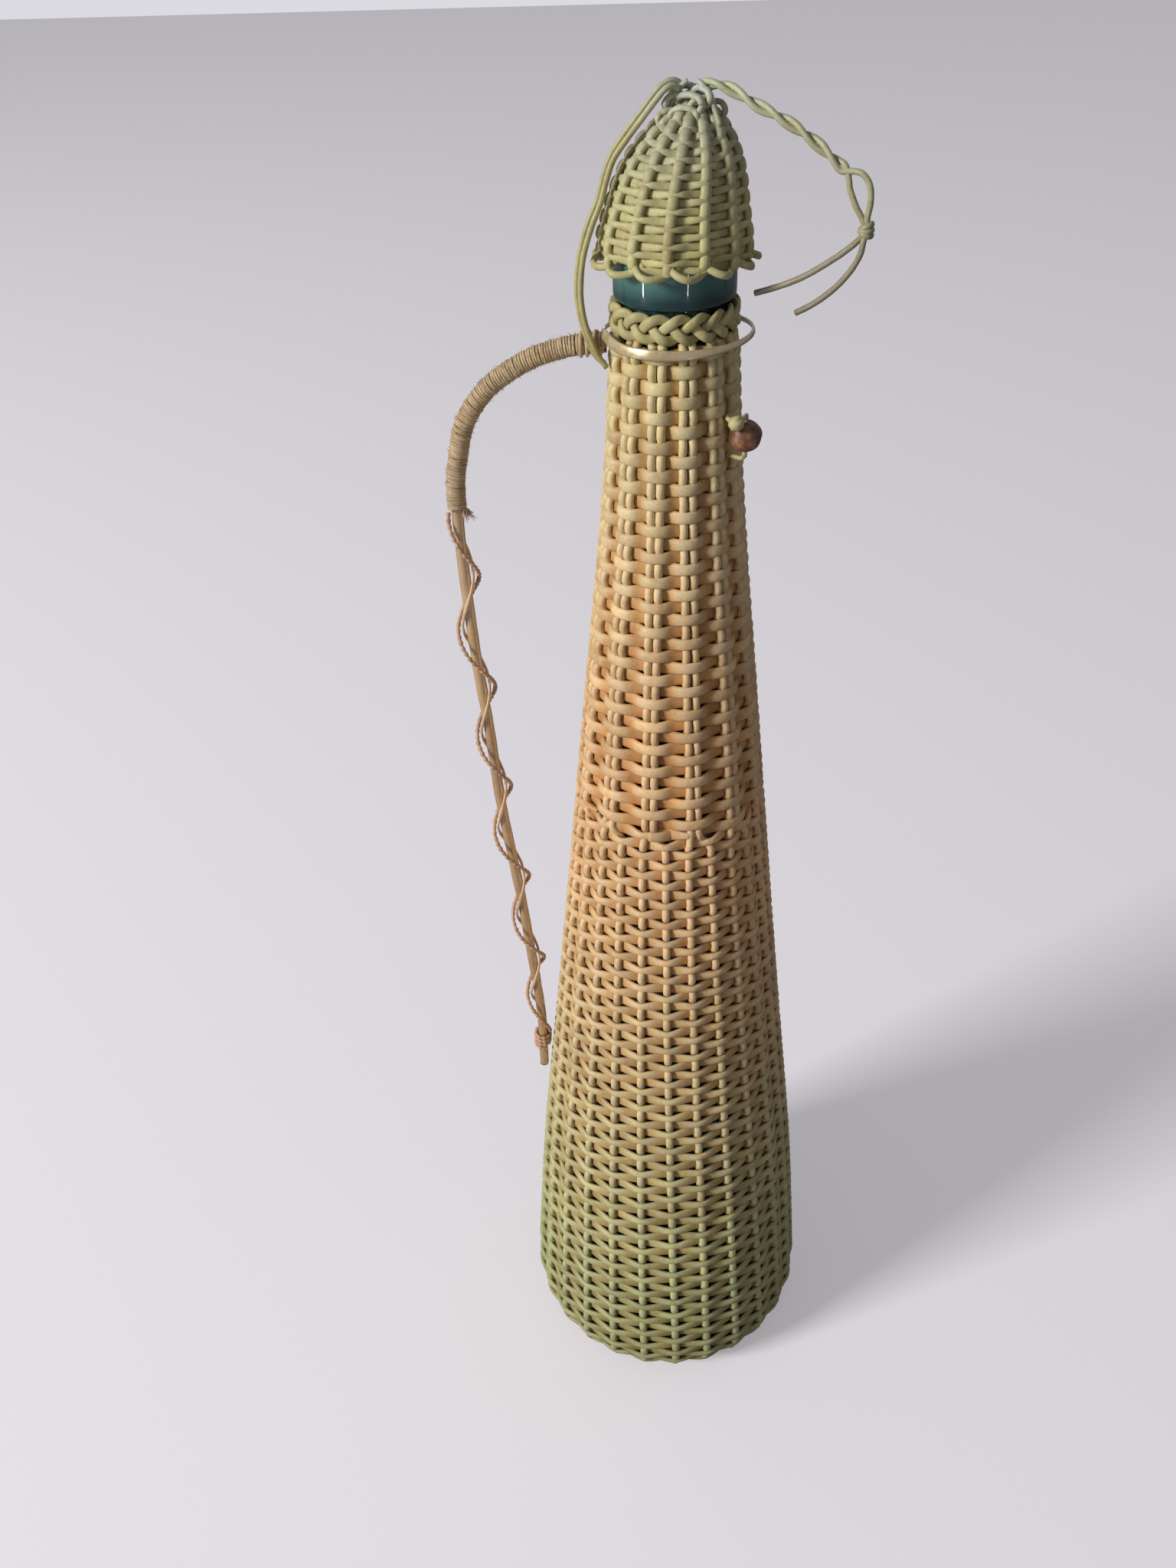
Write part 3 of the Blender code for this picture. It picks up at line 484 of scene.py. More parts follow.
# Tints of patches along a strand, of single strands, of stains and of fine speckles
PATCHES = ((0.3, (0.8, 0.74, 0.66)), (0.52, WHITE), (0.72, (1.16, 1.12, 0.98)))
STRAND_SHADES = ((0.0, (0.84, 0.8, 0.74)), (0.5, WHITE), (1.0, (1.1, 1.1, 1.06)))
STAINS = ((0.32, (0.72, 0.6, 0.46)), (0.5, WHITE))
SPECKLES = ((0.35, (0.86, 0.82, 0.78)), (0.6, (1.05, 1.05, 1.04)))


def cane_material(name, by_height, roughness=0.5, depth=0.25, painted_shading=PAINTED_WEAVE_SHADING, **more):
    """Dry cane: a tint by height, patches along each strand, fine fibres, stains, painted light and shade
    by depth in the weave, and a soft gloss.
    """
    material, tree, shader = new_material(name)
    place, height = object_place(tree)
    colour = ramp(tree, maths(tree, "DIVIDE", height, float(cad_box[1].z)), by_height)
    patches = noise(tree, strand_vector(tree), 0.35, 2.0)
    stains = noise(tree, place, STAIN_SCALE, 4.0, 0.65)
    fine = noise(tree, place, SPECKLE_SCALE, 3.0, 0.7)
    for share, source, stops in (
        (0.9, patches, PATCHES),
        (0.8, attribute(tree, "shade"), STRAND_SHADES),
        (0.55, stains, STAINS),
        # painted light and shade: a little lighter on top, darker deep in the weave
        (0.9, attribute(tree, "deep"), painted_shading),
        (0.6, fine, SPECKLES),
    ):
        colour = mixed(tree, "MULTIPLY", share, colour, ramp(tree, source, stops))
    rough = maths(tree, "ADD", maths(tree, "MULTIPLY", stains, 0.24), roughness - 0.12)
    relief = maths(tree, "ADD", fine, maths(tree, "MULTIPLY", stains, 0.6))
    normal = bump(tree, relief, depth, CANE_RELIEF)
    set_shader(tree, shader, Base_Color=colour, Roughness=rough, Normal=normal)
    set_shader(tree, shader, Specular_IOR_Level=0.35, Coat_Roughness=0.16, **more)
    return material


# Tints by share of the whole height: greenish straw at the foot, warm tan in the middle, straw above
BODY_TINTS = (
    (0.0, (0.39, 0.405, 0.222)), (0.11, (0.435, 0.45, 0.25)), (0.2, (0.525, 0.5, 0.285)),
    (0.3, (0.585, 0.495, 0.295)), (0.4, (0.665, 0.51, 0.305)), (0.5, (0.72, 0.51, 0.305)),
    (0.6, (0.735, 0.505, 0.295)), (0.72, (0.715, 0.535, 0.32)), (0.8, (0.65, 0.53, 0.325)),
    (0.86, (0.6, 0.52, 0.31)),
)
# Straw of the collar, then the cap up to its greyer tip
CAP_TINTS = (
    (0.87, (0.51, 0.465, 0.24)), (0.91, (0.51, 0.48, 0.24)), (0.95, (0.505, 0.49, 0.265)),
    (0.985, (0.48, 0.5, 0.37)), (1.0, (0.47, 0.53, 0.5)),
)
TETHER_TINTS = ((0.85, (0.45, 0.42, 0.21)), (0.97, (0.45, 0.43, 0.23)), (1.0, (0.45, 0.47, 0.36)))
STRAP_TINTS = (
    (0.88, (0.25, 0.23, 0.18)), (0.925, (0.3, 0.28, 0.2)), (0.95, (0.4, 0.4, 0.25)),
    (1.0, (0.45, 0.48, 0.33)),
)
HOOP_TINTS = ((0.86, (0.6, 0.5, 0.31)), (0.9, (0.6, 0.5, 0.31)))
ROD_TINTS = ((0.2, (0.5, 0.3, 0.14)), (0.5, (0.56, 0.34, 0.15)), (0.8, (0.6, 0.4, 0.2)))
WRAP_TINTS = ((0.7, (0.45, 0.33, 0.23)), (0.9, (0.58, 0.45, 0.28)))
COPPER_TINTS = ((0.2, (0.56, 0.37, 0.25)), (0.8, (0.58, 0.4, 0.29)))
CROSS_TINTS = ((0.2, (0.7, 0.5, 0.34)), (0.8, (0.72, 0.54, 0.38)))
# Tints of the glass: its own dark teal below, and a paler teal of painted light above the height where it
# turns paler
GLASS_DARK = ((0.3, (0.008, 0.04, 0.048)), (0.7, (0.022, 0.075, 0.08)))
GLASS_PAINTED_LIGHT = ((0.3, (0.07, 0.19, 0.18)), (0.7, (0.12, 0.3, 0.25)))
PALE_START = COLLAR_HIGH + 0.0022
PALE_STRETCH = 0.004
CORK_TINTS = ((0.35, (0.1, 0.05, 0.025)), (0.46, (0.36, 0.22, 0.11)), (0.7, (0.5, 0.33, 0.18)))
BEAD_TINTS = ((0.36, (0.05, 0.02, 0.014)), (0.5, (0.17, 0.07, 0.035)), (0.64, (0.4, 0.2, 0.1)))


def glass_material():
    """Dark teal glass, smooth all over, with painted light: its colour turns a paler teal above the collar,
    towards the mouth.
    """
    material, tree, shader = new_material("dark_teal_glass")
    place, height = object_place(tree)
    swirl = noise(tree, place, SWIRL_SCALE, 2.0)
    # the paler tint is painted light that comes through the glass above the collar
    dark, pale = ramp(tree, swirl, GLASS_DARK), ramp(tree, swirl, GLASS_PAINTED_LIGHT)
    up = maths(tree, "DIVIDE", maths(tree, "SUBTRACT", height, PALE_START), PALE_STRETCH)
    uneven = maths(tree, "MULTIPLY", maths(tree, "SUBTRACT", swirl, 0.5), 0.8)
    share = add_node(tree, "ShaderNodeClamp", {"Value": maths(tree, "ADD", up, uneven)}).outputs[0]
    set_shader(tree, shader, Base_Color=mixed(tree, "MIX", share, dark, pale), Roughness=0.04, IOR=1.52)
    set_shader(tree, shader, Transmission_Weight=0.25, Coat_Weight=0.3, Coat_Roughness=0.03)
    return material


def cork_material():
    material, tree, shader = new_material("dry_cork")
    grain = noise(tree, object_place(tree)[0], CORK_GRAIN_SCALE, 5.0, 0.7)
    relief = bump(tree, grain, 0.6, CORK_RELIEF)
    set_shader(tree, shader, Base_Color=ramp(tree, grain, CORK_TINTS), Roughness=0.85, Normal=relief)
    return material


def bead_material():
    """A seed's hard coat: dark red-brown with paler scars."""
    material, tree, shader = new_material("bead_coat")
    scars = noise(tree, object_place(tree)[0], SCAR_SCALE, 4.0, 0.6)
    rough = maths(tree, "ADD", maths(tree, "MULTIPLY", scars, 0.3), 0.34)
    relief = bump(tree, scars, 0.35, SCAR_RELIEF)
    set_shader(tree, shader, Base_Color=ramp(tree, scars, BEAD_TINTS), Roughness=rough, Normal=relief)
    return material


CANE_BODY = cane_material("body_cane", BODY_TINTS)
CANE_CAP = cane_material("cap_cane", CAP_TINTS, painted_shading=PAINTED_CAP_SHADING)
CANE_TETHER = cane_material("tether_cane", TETHER_TINTS, 0.42)
CANE_STRAP = cane_material("strap_cane", STRAP_TINTS, 0.42)
CANE_HOOP = cane_material("hoop_strip_gloss", HOOP_TINTS, 0.24, 0.05, Coat_Weight=1.0, Metallic=0.55)
CANE_ROD = cane_material("rod_bark", ROD_TINTS, 0.3, 0.1, Coat_Weight=1.0, Coat_IOR=3.2)
CANE_CROSS = cane_material("split_strand", CROSS_TINTS, 0.35, 0.1, Coat_Weight=0.5)
FIBRE_WRAP = cane_material("wrap_fibre", WRAP_TINTS, 0.5, 0.6, Sheen_Weight=0.3)
FIBRE_COPPER = cane_material("copper_fibre", COPPER_TINTS, 0.5, 0.5)
GLASS = glass_material()
CORK = cork_material()
BEAD = bead_material()

# Strap and tethers: the same routes as the solids they stand for
TETHER_REAR_ROUTE = (
    (0.0012, 0.0009, 0.3942), (0.0002, 0.0003, 0.3953), (-0.0016, -0.0004, 0.3956),
    (-0.0037, -0.0009, 0.3943), (-0.0071, -0.0012, 0.3903), (-0.0106, -0.0013, 0.3861),
    (-0.0134, -0.0014, 0.3822), (-0.0151, -0.0016, 0.3779), (-0.0163, -0.0019, 0.3738),
    (-0.0182, -0.0023, 0.3697), (-0.0202, -0.0028, 0.3636), (-0.0211, -0.0033, 0.3573),
    (-0.0209, -0.0036, 0.3525), (-0.0198, -0.0038, 0.3474), (-0.0176, -0.0039, 0.3422),
    (-0.0154, -0.0039, 0.3399),
)
TETHER_FRONT_ROUTE = (
    (0.0003, -0.0009, 0.3942), (-0.0005, -0.0014, 0.3948), (-0.0016, -0.0021, 0.3948),
    (-0.0032, -0.0026, 0.3936), (-0.0064, -0.0029, 0.3899), (-0.0099, -0.003, 0.3857),
    (-0.0128, -0.0031, 0.3818), (-0.0144, -0.0033, 0.3776), (-0.0156, -0.0036, 0.3735),
    (-0.0174, -0.004, 0.3694), (-0.0194, -0.0045, 0.3633), (-0.0202, -0.005, 0.3572),
    (-0.02, -0.0053, 0.3524), (-0.0189, -0.0055, 0.3476), (-0.0167, -0.0055, 0.3423),
    (-0.0149, -0.0054, 0.3396),
)
# Routes in the strap's own upright plane: out from the cap's tip, beside, and height
CORD_ROUTE = (
    (0.0025, 0.0, 0.3948), (0.0047, 0.0, 0.3951), (0.0073, 0.0, 0.3946), (0.0106, 0.0, 0.3932),
    (0.0141, 0.0, 0.3916), (0.0175, 0.0, 0.3903), (0.0209, 0.0, 0.3888), (0.0238, 0.0, 0.3873),
    (0.0265, 0.0, 0.3857), (0.029, 0.0, 0.384), (0.0312, 0.0, 0.3824), (0.033, 0.0, 0.3811),
)
EYE_OUTER_ROUTE = (
    (0.0349, 0.0, 0.3811), (0.0364, 0.0, 0.3808), (0.0377, 0.0, 0.3796), (0.0384, 0.0, 0.378),
    (0.0386, 0.0, 0.3762), (0.0385, 0.0, 0.3745), (0.0382, 0.0, 0.3728),
)
EYE_INNER_ROUTE = (
    (0.0338, 0.0, 0.3796), (0.0341, 0.0, 0.378), (0.0349, 0.0, 0.3762), (0.0358, 0.0, 0.3745),
    (0.0369, 0.0, 0.3729),
)
STRAP_KNOT_PLACE = (0.0382, 0.0, 0.3704)
LONG_TAIL_ROUTE = (
    (0.037, 0.0004, 0.3687), (0.0359, 0.0004, 0.3675), (0.0344, 0.0004, 0.3662), (0.0328, 0.0004, 0.3649),
    (0.031, 0.0004, 0.3636), (0.0287, 0.0004, 0.362), (0.0262, 0.0004, 0.3604), (0.0234, 0.0004, 0.3589),
    (0.0205, 0.0004, 0.3576), (0.0177, 0.0004, 0.3565), (0.0149, 0.0004, 0.3555),
)
SHORT_TAIL_ROUTE = (
    (0.0382, -0.0012, 0.3684), (0.038, -0.0013, 0.3667), (0.0374, -0.0013, 0.365),
    (0.0363, -0.0013, 0.363), (0.035, -0.0013, 0.3612), (0.0334, -0.0013, 0.3593),
    (0.0315, -0.0013, 0.3575), (0.0294, -0.0013, 0.3558), (0.0272, -0.0013, 0.3543),
    (0.0249, -0.0013, 0.353),
)
CANE_DIAMETER = 0.0013
CORD_STEP = 0.0007
CORD_POINT_SPACING = 0.0015
CORD_TWISTS = 2.5
KNOT_TURN_RADIUS = 0.00125
KNOT_CANE = (0.00115, 0.0009)
TIP = sum(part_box("cap_tip_knot"), Vector()) / 2
STRAP_AZIMUTH = math.radians(-25)
STRAP_HEADING = Vector((math.cos(STRAP_AZIMUTH), math.sin(STRAP_AZIMUTH), 0))
STRAP_ACROSS = Vector((-STRAP_HEADING.y, STRAP_HEADING.x, 0))
STRAP_OUT, STRAP_SIDE = np.array(STRAP_HEADING), np.array(STRAP_ACROSS)


def strap_place(spot):
    level = STRAP_HEADING * spot[0] + STRAP_ACROSS * spot[1]
    return np.array((TIP.x + level.x, TIP.y + level.y, spot[2]))


def free_cane(name, path, material, shade, body, *nodes):
    """One round cane along a path, a little uneven."""
    bundle = Bundle(sides=12, squareness=2.1)
    width = CANE_DIAMETER * (1 + ripple(distances(path) / MM, len(name), 0.05))
    bundle.add(path, carried_normals(path, (0, 1, 0)), width, width * 0.94, shade)
    return bundle.build(name, material, "straw_cane", body, *nodes)


def declare_cord(cane, path, far_end, **more):
    length_of(path)


def build_tethers():
    for side, route, shade in (("rear", TETHER_REAR_ROUTE, 0.35), ("front", TETHER_FRONT_ROUTE, 0.75)):
        path = resample(route, CORD_STEP)
        cane = free_cane(f"tether_cane_{side}", path, CANE_TETHER, shade, None, f"strap_tether_{side}")
        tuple(route[-1])
        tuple(route[0])
        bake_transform(cane)
        declare_cord(cane, path, "object")


def strap_strand_paths():
    """Two canes twisted round each other that part at the eye and cross in the knot."""
    centre = resample([strap_place(s) for s in CORD_ROUTE], CORD_STEP)
    ahead = unit(np.gradient(centre, axis=0))
    up = np.cross(ahead, np.broadcast_to(STRAP_SIDE, ahead.shape))
    share = np.linspace(0, 1, len(centre))
    spacing = max(1, round(CORD_POINT_SPACING / CORD_STEP))
    for start, eye, tail in (
        (math.pi / 2, EYE_OUTER_ROUTE, SHORT_TAIL_ROUTE),
        (-math.pi / 2, EYE_INNER_ROUTE, LONG_TAIL_ROUTE),
    ):
        angle = (start + math.tau * CORD_TWISTS * share)[:, None]
        twisted = centre + CANE_DIAMETER / 2 * (np.cos(angle) * STRAP_SIDE + np.sin(angle) * up)
        rest = [strap_place(s) for s in (*eye, STRAP_KNOT_PLACE, *tail)]
        yield resample([*twisted[::spacing], *rest], CORD_STEP)


def build_strap_knot():
    """Three turns of cane drawn tight round the crossing of the two tails."""
    bundle = Bundle(sides=10)
    turn = whole_turn(28)[:, None]
    for shade, tilt, drop in ((0.3, 0.5, 0.0007), (0.5, -0.35, -0.0006), (0.7, 0.1, 0.0)):
        lean = STRAP_OUT * math.cos(tilt) + UP * math.sin(tilt)
        middle = strap_place(STRAP_KNOT_PLACE) + UP * drop
        loop = middle + KNOT_TURN_RADIUS * (np.cos(turn) * lean + np.sin(turn) * STRAP_SIDE)
        bundle.add(loop, unit(loop - middle), *KNOT_CANE, shade, closed=True)
    return bundle.build("strap_knot_turns", CANE_STRAP, "straw_cane", "strap", "strap_knot")


def build_strap():
    outer, inner = strap_strand_paths()
    knot = build_strap_knot()
    nodes = ("strap_cord", "strap_eye", "strap_short_tail")
    cane = free_cane("strap_cane_outer", outer, CANE_STRAP, 0.4, "strap", *nodes)
    declare_cord(cane, outer, "bare", with_pieces=[knot])
    cane = free_cane("strap_cane_inner", inner, CANE_STRAP, 0.7, "strap", "strap_long_tail")
    declare_cord(cane, inner, "bare", with_pieces=[])


build_tethers()
build_strap()


# Woven jacket. Azimuths and leans are those of the ribs on the solid jacket
STAKE_COUNT = 26
PAIR_COUNT = 13
STAKE_AZIMUTH = math.radians(-106.2)
PAIR_AZIMUTH = math.radians(-102.3)
STAKE_LEAN = math.radians(7.5)
PAIR_LEAN = math.radians(-2.8)
SPLIT_LENGTH = 0.006
STAKE_WIDTH_LOW = 0.0025
STAKE_WIDTH_HIGH = 0.0019
PAIR_SLIT = 0.0004
STAKE_THICKNESS = 0.0019
WEAVER_THICKNESS = 0.0014
WEAVE_DEPTH = 0.0035
NECK_WEAVE_DEPTH = 0.0032
CLOSING_DEPTH = 0.0013
CLOSING_DIP = 0.0004
# In shares of a row: the least opening that a closing cane fills, its overlap, and a jump in the opening
CLOSING_LEAST = 0.12
CLOSING_OVERLAP = 0.25
CLOSING_JUMP = 0.2
STAKE_STEP = 0.0007
STAKE_UNDER = 0.003
STAKE_TOP_GAP = 0.0003
STAKE_FILL = 0.92
STAKE_FLATNESS = 0.55
WEAVER_FLATNESS = 0.9
# How far weavers and stakes waver, and how much a weaver's size varies
WEAVER_WAVER = 0.00016
WEAVER_LIFT = 0.00008
WEAVER_VARIETY = 0.05
STAKE_WAVER = 0.00015
# How deep half a wave takes a stake, of 1 behind the other canes
HALF_DEEP = 0.35
# Share of a row that a weaver fills, behind the stakes and in front of them
LOWER_FILL = (1.25, 0.58)
UPPER_FILL = (1.1, 0.88)
VALLEY_POWER = 2.6
UNDERSIDE_START = 0.0125
UNDERSIDE_PITCH = 0.0022
UNDERSIDE_GAP = 0.001
UNDERSIDE_CANE = 0.0016
UNDERSIDE_HEIGHT = 0.0011
# Height, and how far apart the rows are there
ROW_PITCHES = (
    (0.0, 0.0033), (0.03, 0.00335), (0.07, 0.0035), (0.11, 0.0034), (0.13, 0.00327), (0.15, 0.0032),
    (0.19, 0.00316), (0.223, 0.00318), (0.25, 0.00323), (0.28, 0.00316), (0.3, 0.00315), (0.32, 0.0033),
    (0.344, 0.0033),
)


def row_table():
    """Along the jacket's line: places, the count of rows up to them and the pitch there."""
    along = np.linspace(UNDERSIDE_START, profile.length, 4000)
    pitch = np.interp(profile.height(along), *np.array(ROW_PITCHES).T)
    rows = np.concatenate([[0], np.cumsum(np.diff(along) / ((pitch[1:] + pitch[:-1]) / 2))])
    return along, rows, pitch


ROW_ALONG, ROW_COUNTS, ROW_PITCH = row_table()


def along_of_row(row):
    return np.interp(row, ROW_COUNTS, ROW_ALONG)


def row_of_along(along):
    return np.interp(along, ROW_ALONG, ROW_COUNTS)


def pitch_at(along):
    return np.interp(along, ROW_ALONG, ROW_PITCH)


def front_angle(degrees):
    """An azimuth counted from the front (-Y), positive to the right."""
    return np.radians(np.asarray(degrees, float) - 90)


def lean_at(height):
    """How far round the stakes have leaned at a height."""
    return np.interp(height, (CORNER_TOP, LOWER_TOP, UPPER_TOP), (STAKE_LEAN, 0.0, PAIR_LEAN))


def weave_depth(height):
    return np.interp(height, (LOWER_TOP, STRANDS_TOP), (WEAVE_DEPTH, NECK_WEAVE_DEPTH))


SPLIT_ROW = float(row_of_along(along_at(LOWER_TOP)))
UPPER_START_ROW = SPLIT_ROW - 0.15
PAIRED_FROM_ROW = SPLIT_ROW - 0.6
TOP_ROW = float(row_of_along(along_at(STRANDS_TOP))) + 0.25
OUTER_DEPTH = WEAVER_THICKNESS / 2


def across_stakes(position):
    """1 over even places and -1 over odd ones, almost straight between them."""
    sharpness = 0.955
    return np.arcsin(sharpness * np.cos(math.pi * position)) / math.asin(sharpness)


def across_pairs(position):
    return 2 * ((1 + wave(position, WEAVER_FLATNESS)) / 2) ** VALLEY_POWER - 1


def weaver_path(first, end_row, lead, shift, start, count, shape, fill, steps, seed):
    """A spiral that climbs lead rows a turn, from the first stake on. It is in front of a stake
    where the stake's number and the shift are even together."""
    turns = (end_row - first) / lead
    position = np.linspace(0, turns * count, int(turns * count * steps))
    over = (1 + shape(position + shift)) / 2
    along = along_of_row(first + lead * position / count) + ripple(position * 0.7, seed, WEAVER_WAVER)
    height = profile.height(along)
    angle = start + lean_at(height) + math.tau * position / count
    inner = weave_depth(height) - WEAVER_THICKNESS / 2 - LEVEL_TOLERANCE
    depth = inner - (inner - OUTER_DEPTH) * over + ripple(position * 1.2, seed + 1, WEAVER_LIFT)
    points, normals = profile.place(along, angle, np.maximum(depth, OUTER_DEPTH * 0.8))
    width = pitch_at(along) * (fill[0] + (fill[1] - fill[0]) * over)
    width = width * (1 + ripple(position * 1.7, seed + 2, WEAVER_VARIETY))
    thickness = WEAVER_THICKNESS * (1 + ripple(position, seed + 3, WEAVER_VARIETY))
    # 1 - over is the depth that sets the painted light and shade
    return points, normals, width, thickness, shades(position * 0.22, seed + 4, 0.6), False, 1 - over


def add_closing_canes(bundle):
    """Tapered canes that fill the wedge between the lower weavers' ends and the upper weaver's start."""
    azimuth = np.linspace(0, math.tau, 900)
    turned = 2 * (azimuth - STAKE_AZIMUTH) / math.tau
    below = SPLIT_ROW - (SPLIT_ROW - turned) % 1
    above = UPPER_START_ROW + (azimuth - PAIR_AZIMUTH) / math.tau % 1
    open_rows = above - below - 1
    breaks = [int(i) + 1 for i in np.where(np.abs(np.diff(open_rows)) > CLOSING_JUMP)[0]]
    for first, last in zip([0] + breaks, breaks + [len(azimuth)]):
        run = np.arange(first, last)[open_rows[first:last] > CLOSING_LEAST]
        if len(run) < 12:
            continue
        along = along_of_row((above[run] + below[run]) / 2)
        depth = CLOSING_DEPTH + CLOSING_DIP * np.cos(azimuth[run] * PAIR_COUNT)
        points, normals = profile.place(along, azimuth[run] + lean_at(LOWER_TOP), depth)
        width = pitch_at(along) * (open_rows[run] + CLOSING_OVERLAP)
        # the closing canes lie half deep, which gives them some painted shade
        bundle.add(points, normals, width, WEAVER_THICKNESS, 0.5, False, 0.5)


def build_weavers():
    lower = Bundle(sides=10, squareness=2.6)
    for strand in (0, 1):
        spiral = (strand, SPLIT_ROW, 2, strand, STAKE_AZIMUTH, STAKE_COUNT)
        lower.add(*weaver_path(*spiral, across_stakes, LOWER_FILL, 9, 11 + 10 * strand))
    lower.build("lower_weavers", CANE_BODY, "tan_cane", "bottle", "lower_weave", "base_weave")
    upper = Bundle(sides=10, squareness=2.6)
    spiral = (UPPER_START_ROW, TOP_ROW, 1, 0, PAIR_AZIMUTH, PAIR_COUNT)
    upper.add(*weaver_path(*spiral, across_pairs, UPPER_FILL, 14, 41))
    add_closing_canes(upper)
    upper.build("upper_weavers", CANE_BODY, "tan_cane", "bottle", "upper_weave", "neck_strands")


def build_stakes():
    """Upright canes, single and evenly spaced below, drawn together in pairs above."""
    bundle = Bundle(sides=12, squareness=2.1)
    top = profile.length - STAKE_TOP_GAP
    along = np.arange(UNDERSIDE_START - STAKE_UNDER, top - LEVEL_TOLERANCE, STAKE_STEP)
    along = np.append(along, top)
    height = profile.height(along)
    row = row_of_along(along)
    radius = np.maximum(profile.radius(along), 0.01)
    joined = smooth_step((height - (LOWER_TOP - SPLIT_LENGTH)) / SPLIT_LENGTH)
    width = STAKE_WIDTH_LOW + (STAKE_WIDTH_HIGH - STAKE_WIDTH_LOW) * np.clip(height / LOWER_TOP, 0, 1)
    room = profile.radius(along) * math.tau / STAKE_COUNT / STAKE_WIDTH_LOW * STAKE_FILL
    width = width * np.minimum(1.0, room)
    low, high = STAKE_THICKNESS / 2, weave_depth(height) - STAKE_THICKNESS / 2
    for k in range(STAKE_COUNT):
        pair, side = k // 2, (-1, 1)[k % 2]
        single_at = STAKE_AZIMUTH + math.tau * k / STAKE_COUNT
        paired_at = PAIR_AZIMUTH + math.tau * pair / PAIR_COUNT + side * (width + PAIR_SLIT) / 2 / radius
        azimuth = single_at + (paired_at - single_at) * joined + lean_at(height)
        azimuth = azimuth + ripple(height / 0.02, 100 + k, STAKE_WAVER) / radius
        single = wave(row - 2 * k / STAKE_COUNT + k, STAKE_FLATNESS)
        paired = wave(row - UPPER_START_ROW - pair / PAIR_COUNT + pair, STAKE_FLATNESS)
        under = np.where(row > PAIRED_FROM_ROW, paired, single)
        points, normals = profile.place(along, azimuth, (low + high) / 2 + (high - low) / 2 * under)
        chance = np.random.default_rng(200 + k)
        wide = width * chance.uniform(0.96, 1.05)
        shade = chance.uniform(0.3, 1)
        # the stakes take painted light where they come to the front and painted shade where they pass
        # behind
        bundle.add(points, normals, wide, STAKE_THICKNESS, shade, deep=(1 + under) * HALF_DEEP)
    bundle.build("jacket_stakes", CANE_BODY, "tan_cane", "bottle")


def build_underside():
    """A flat coil of cane that closes the middle of the foot."""
    bundle = Bundle(sides=10, squareness=2.4)
    turns = (UNDERSIDE_START - UNDERSIDE_GAP) / UNDERSIDE_PITCH
    angle = np.linspace(0.3, turns * math.tau, int(turns * 60))
    points = polar(UNDERSIDE_PITCH * angle / math.tau, angle, UNDERSIDE_HEIGHT)
    bundle.add(points, np.broadcast_to(-UP, points.shape), UNDERSIDE_PITCH * 0.95, UNDERSIDE_CANE, 0.4)
    bundle.build("foot_middle_coil", CANE_BODY, "green_cane", "bottle")


build_weavers()
build_stakes()
build_underside()


# Collar, hoop and glass at the neck
PLAIT_PERIODS = 6
PLAIT_STRAND_WIDTH = 0.0022
PLAIT_STRAND_THICKNESS = 0.0013
PLAIT_SWING = 0.0007
PLAIT_WAVER = 0.0001
HOOP_HEIGHT = (STRANDS_TOP + COLLAR_LOW) / 2
HOOP_WIDE = 0.0023
HOOP_NARROW = 0.0012
HOOP_THICKNESS = 0.0006
HOOP_RADIUS = NECK_RADIUS + 0.0004 + HOOP_THICKNESS / 2
HOOP_START_DEG = 192
HOOP_END_DEG = 528
HOOP_BULGE = 0.0014
HOOP_START_RISE = 0.0012
HOOP_FRONT_RISE = 0.0007
HOOP_LEAN = math.radians(16)
FINISH_STEP = COLLAR_HIGH + 0.0003
FINISH_EDGE = 0.0011
LIP_OUTER_EDGE = 0.0014
LIP_INNER_EDGE = 0.0006
GLASS_WALL = 0.0024
GLASS_FLOOR = 0.005
GLASS_GAP = 0.00005
GLASS_LEAST_RADIUS = 0.001
GLASS_SIDES = 96
GLASS_INNER_START = UNDERSIDE_START + 0.012
LIP_BAND = 0.002
SHARP_ANGLE = 0.6


def build_collar():
    """A plait of three flat canes round the neck."""
    bundle = Bundle(sides=10, squareness=2.3)
    rise = (COLLAR_HIGH - COLLAR_LOW - PLAIT_STRAND_WIDTH) / 2
    angle = whole_turn(720)
    for strand in range(3):
        phase = PLAIT_PERIODS * angle + math.tau * strand / 3
        radius = COLLAR_RADIUS - PLAIT_STRAND_THICKNESS + PLAIT_SWING * np.sin(2 * phase)
        radius = radius + ripple(angle * 6, 300 + strand, PLAIT_WAVER)
        points = polar(radius, angle, (COLLAR_LOW + COLLAR_HIGH) / 2 + rise * np.sin(phase))
        shade = 0.25 * strand + 0.2
        size = (PLAIT_STRAND_WIDTH, PLAIT_STRAND_THICKNESS)
        bundle.add(points, polar(1, angle, 0), *size, shade, closed=True)
    bundle.build("collar_plait", CANE_CAP, "straw_cane", "bottle", "neck_collar")


def build_hoop():
    """The handle cane's thinned end, bent round the neck between jacket and collar."""
    bundle = Bundle(sides=16, squareness=3.4)
    angle = np.radians(np.linspace(HOOP_START_DEG, HOOP_END_DEG, 280))
    share = np.linspace(0, 1, len(angle))
    rightward = np.maximum(0, np.cos(angle))
    rise = HOOP_START_RISE * (1 - smooth_step(share / 0.12)) + HOOP_FRONT_RISE * rightward**2
    points = polar(HOOP_RADIUS + HOOP_BULGE * rightward**3, angle, HOOP_HEIGHT + rise)
    width = HOOP_WIDE + (HOOP_NARROW - HOOP_WIDE) * smooth_step((share - 0.15) / 0.35)
    thickness = HOOP_THICKNESS * (1.2 - 0.2 * share)
    bundle.add(points, polar(1, angle, math.tan(HOOP_LEAN)), width, thickness, 0.6)
    bundle.build("neck_hoop_strip", CANE_HOOP, "hoop_strip", "bottle", "neck_hoop")


def add_solid(name, bm, material):
    mesh = bpy.data.meshes.new(name)
    bm.to_mesh(mesh)
    bm.free()
    mesh.shade_smooth()
    mesh.materials.append(material)
    return add_object(name, mesh)


